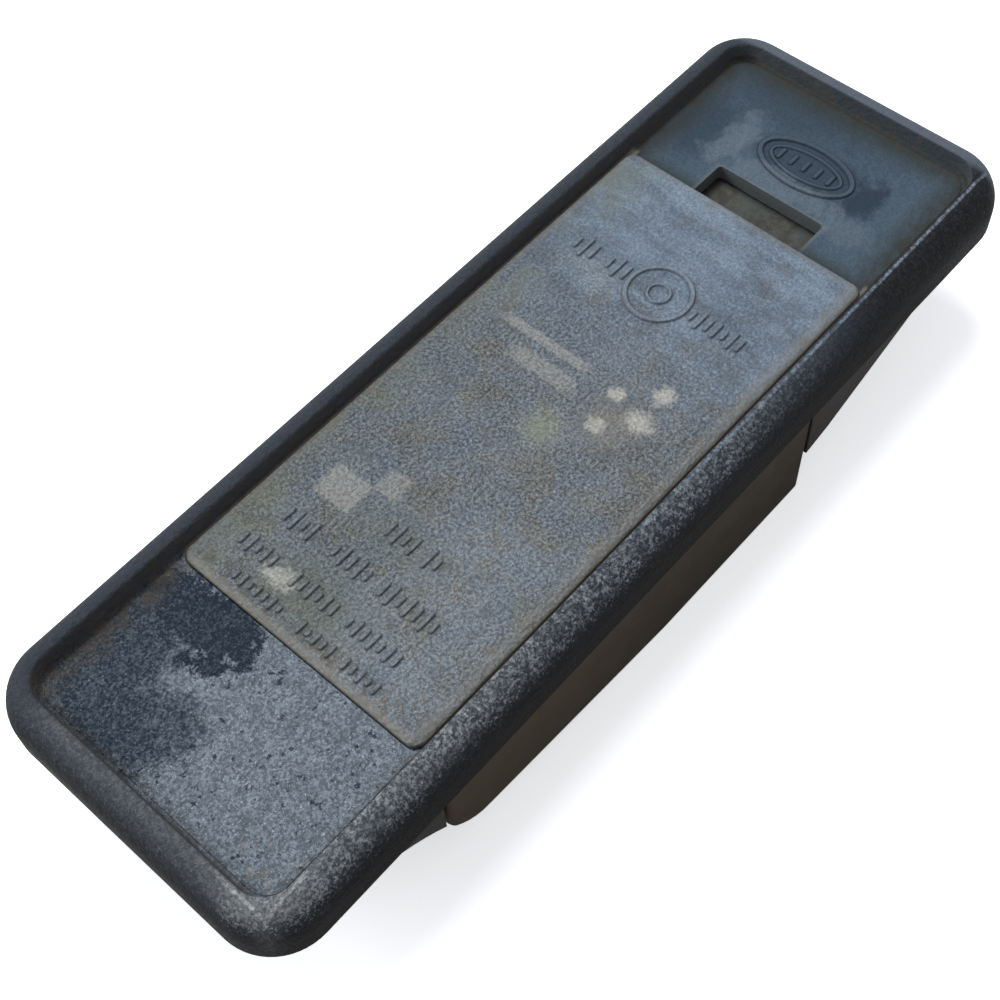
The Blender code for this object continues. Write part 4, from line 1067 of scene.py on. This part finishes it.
def build_seals(sizes, tones):
    rubber = rubber_finish(tones)
    dress("panel_seal", "opening_seal", 0.12, rubber)
    dress("lens_gasket", "lens_seal", 0.2, rubber)
    dress("wire_grommet", "cable_grommet", 0.15, rubber)


def build_carrier(sizes, tones):
    dress("bulb_carrier", "carrier_frame", sizes.soft_edge / MM, carrier_finish())
    brass = metal_finish("contact_brass", tones.brass, 0.28, 0.6, (0.160, 0.090, 0.040),
                         (1.0, 0.15, 1.0))
    tin = metal_finish("tinned_strip", tones.steel, 0.32, 0.5, (0.200, 0.180, 0.150),
                       (0.15, 1.0, 1.0))
    for end in ("near", "far"):
        dress(f"contact_leaf_{end}", f"contact_spring_{end}", 0.08, brass,
              f"contact_{end}")
        dress(f"contact_rivet_{end}", f"strip_rivet_{end}", 0.1, brass)
    dress("feed_terminal", "feed_strip", 0.08, brass)
    dress("earth_terminal", "earth_strip", 0.08, tin)


def build_bulb(sizes, tones):
    dress("bulb_glass", "bulb_envelope", 0.0, glass_finish())
    cap_metal = metal_finish("bulb_cap_metal", (0.60, 0.57, 0.50), 0.30, 0.6,
                             (0.220, 0.190, 0.150))
    for end in ("near", "far"):
        dress(f"bulb_cap_{end}", f"festoon_cap_{end}", 0.1, cap_metal)
    tungsten = metal_finish("filament_tungsten", (0.30, 0.29, 0.28), 0.4, 0.3, (0.12, 0.12, 0.13))
    dress("bulb_filament", "filament_wire", 0.0, tungsten, angle=60.0)
    bright = metal_finish("reflector_bright_metal", (0.76, 0.76, 0.74), 0.16, 0.4,
                          (0.420, 0.400, 0.360), (0.1, 1.0, 1.0))
    dress("panel_reflector", "bulb_reflector", 0.12, bright, "panel")


def build_fasteners(sizes, tones):
    zinc = metal_finish("screw_zinc", tones.steel, 0.34, 0.7, (0.190, 0.150, 0.100))
    brass = metal_finish("insert_brass", tones.brass, 0.32, 0.5, (0.180, 0.110, 0.050))
    for end in SCREWS:
        for side in ("right", "left"):
            place = f"{end}_{side}"
            dress(f"block_screw_{place}", f"tapping_screw_{place}", 0.08, zinc)
    for end in ("near", "far"):
        dress(f"mount_insert_{end}", f"threaded_bush_{end}", 0.1, brass)


def build_catch(sizes, tones):
    rust = rust_finish(tones)
    dress("catch_spring", "spring_catch", 0.08, rust, "catch")
    dress("catch_rivet", "catch_pin", 0.1, rust)


def add_floor():
    """Pale floor that keeps the lamp's shadow and is clear from below."""
    deselect()
    bpy.ops.mesh.primitive_circle_add(vertices=96, radius=3.0, fill_type="NGON",
                                      location=(0, 0, -0.02 * MM))
    floor = named("studio_floor")
    settle(floor)
    make = Finish("pale_floor", Base_Color=(0.90, 0.90, 0.90, 1.0), Roughness=0.9,
                  Specular_IOR_Level=0.0, Emission_Strength=0.58)
    make.link(make.add("ShaderNodeLightPath").outputs["Is Camera Ray"], "Emission Color")
    below = make.add("ShaderNodeNewGeometry").outputs["Backfacing"]
    clear = make.add("ShaderNodeBsdfTransparent").outputs[0]
    mix = make.add("ShaderNodeMixShader", {}, {0: below, 1: make.shader.outputs[0], 2: clear})
    make.tree.links.new(mix.outputs[0], make.output.inputs["Surface"])
    floor.data.materials.append(make.material)


def add_world():
    """Plain sky: white to the camera, also through glass, and dimmer as a light."""
    world = bpy.data.worlds.new("studio_world")
    bpy.context.scene.world = world
    world.use_nodes = True
    tree = world.node_tree
    path = add_node(tree, "ShaderNodeLightPath")
    seen = add_node(tree, "ShaderNodeMath", {"operation": "MAXIMUM"},
                    {0: path.outputs["Is Camera Ray"], 1: path.outputs["Is Transmission Ray"]})
    mix = add_node(tree, "ShaderNodeMix", {"data_type": "RGBA"},
                   {0: seen.outputs[0], 6: STUDIO_TONE, 7: WHITE})
    tree.links.new(mix.outputs[2], tree.nodes["Background"].inputs["Color"])


def add_lamp(item_name, place, size, power, tone):
    """A round soft lamp that points at the middle of the floor."""
    light = bpy.data.lights.new(item_name, "AREA")
    light.shape = "DISK"
    light.size = size
    light.energy = power
    light.color = tone
    lamp = bpy.data.objects.new(item_name, light)
    bpy.context.scene.collection.objects.link(lamp)
    lamp.location = place
    lamp.rotation_euler = (-Vector(place)).to_track_quat("-Z", "Y").to_euler()


def add_camera():
    """Camera that looks down along the lamp from its near right end."""
    data = bpy.data.cameras.new("view_camera")
    data.lens = 58.188
    data.sensor_width = 36.0
    data.clip_start = 0.01
    camera = bpy.data.objects.new("view_camera", data)
    bpy.context.scene.collection.objects.link(camera)
    forward = Vector((0.37257822, 0.38060125, -0.84636172)).normalized()
    up = Vector((0.64714727, 0.54711212, 0.53091312)).normalized()
    right = forward.cross(up).normalized()
    turn = Matrix((right, right.cross(forward), -forward)).transposed()
    camera.matrix_world = Matrix.Translation((-0.071018, -0.065358, 0.156292)) @ turn.to_4x4()
    bpy.context.scene.camera = camera


def build_stage():
    scene = bpy.context.scene
    scene.view_settings.view_transform = "Standard"
    add_floor()
    add_world()
    for lamp in LAMPS:
        add_lamp(*lamp)
    add_camera()


class BuildStep:
    """What all the building steps share."""

    bl_options = {"REGISTER", "UNDO"}

    def build(self, context, builder):
        """Run a builder with the scene's settings."""
        builder(context.scene.lamp_sizes, context.scene.lamp_colours)
        return {"FINISHED"}


class PLATELAMP_OT_cover(BuildStep, bpy.types.Operator):
    """Build the weathered cover"""

    bl_idname = "platelamp.cover"
    bl_label = "Cover"

    def execute(self, context):
        return self.build(context, build_cover)


class PLATELAMP_OT_panel(BuildStep, bpy.types.Operator):
    """Build the marked panel"""

    bl_idname = "platelamp.panel"
    bl_label = "Marked panel"

    def execute(self, context):
        return self.build(context, build_panel)


class PLATELAMP_OT_lens(BuildStep, bpy.types.Operator):
    """Build the smoked lens"""

    bl_idname = "platelamp.lens"
    bl_label = "Lens"

    def execute(self, context):
        return self.build(context, build_lens)


class PLATELAMP_OT_blocks(BuildStep, bpy.types.Operator):
    """Build the two end blocks"""

    bl_idname = "platelamp.blocks"
    bl_label = "End blocks"

    def execute(self, context):
        return self.build(context, build_blocks)


class PLATELAMP_OT_seals(BuildStep, bpy.types.Operator):
    """Build the rubber pieces"""

    bl_idname = "platelamp.seals"
    bl_label = "Seals and grommet"

    def execute(self, context):
        return self.build(context, build_seals)


class PLATELAMP_OT_carrier(BuildStep, bpy.types.Operator):
    """Build the carrier, springs and strips"""

    bl_idname = "platelamp.carrier"
    bl_label = "Carrier and contacts"

    def execute(self, context):
        return self.build(context, build_carrier)


class PLATELAMP_OT_bulb(BuildStep, bpy.types.Operator):
    """Build the festoon bulb and its reflector"""

    bl_idname = "platelamp.bulb"
    bl_label = "Bulb and reflector"

    def execute(self, context):
        return self.build(context, build_bulb)


class PLATELAMP_OT_fasteners(BuildStep, bpy.types.Operator):
    """Build the screws and threaded bushes"""

    bl_idname = "platelamp.fasteners"
    bl_label = "Screws and bushes"

    def execute(self, context):
        return self.build(context, build_fasteners)


class PLATELAMP_OT_catch(BuildStep, bpy.types.Operator):
    """Build the spring catch and its pin"""

    bl_idname = "platelamp.catch"
    bl_label = "Spring catch"

    def execute(self, context):
        return self.build(context, build_catch)


class PLATELAMP_OT_stage(BuildStep, bpy.types.Operator):
    """Build the floor, lights and camera"""

    bl_idname = "platelamp.stage"
    bl_label = "Stage"

    def execute(self, context):
        build_stage()
        return {"FINISHED"}


OPERATORS = (
    PLATELAMP_OT_cover,
    PLATELAMP_OT_panel,
    PLATELAMP_OT_lens,
    PLATELAMP_OT_blocks,
    PLATELAMP_OT_seals,
    PLATELAMP_OT_carrier,
    PLATELAMP_OT_bulb,
    PLATELAMP_OT_fasteners,
    PLATELAMP_OT_catch,
    PLATELAMP_OT_stage,
)


class PLATELAMP_PT_builder(bpy.types.Panel):
    """Lists the building steps in order."""

    bl_idname = "PLATELAMP_PT_builder"
    bl_label = "Plate Lamp"
    bl_space_type = "VIEW_3D"
    bl_region_type = "UI"
    bl_category = "Plate Lamp"

    def draw(self, context):
        for step in OPERATORS:
            self.layout.operator(step.bl_idname)
        for group in (context.scene.lamp_sizes, context.scene.lamp_colours):
            for setting in group.bl_rna.properties:
                if setting.identifier not in ("rna_type", "name"):
                    self.layout.prop(group, setting.identifier)


CLASSES = (LampSizes, LampColours, *OPERATORS, PLATELAMP_PT_builder)


def register():
    for item in CLASSES:
        bpy.utils.register_class(item)
    bpy.types.Scene.lamp_sizes = bpy.props.PointerProperty(type=LampSizes)
    bpy.types.Scene.lamp_colours = bpy.props.PointerProperty(type=LampColours)


def unregister():
    del bpy.types.Scene.lamp_colours
    del bpy.types.Scene.lamp_sizes
    for item in reversed(CLASSES):
        bpy.utils.unregister_class(item)


def main():
    register()
    for step in OPERATORS:
        group, name = step.bl_idname.split(".")
        getattr(getattr(bpy.ops, group), name)()
    deselect()


if __name__ == "__main__":
    main()
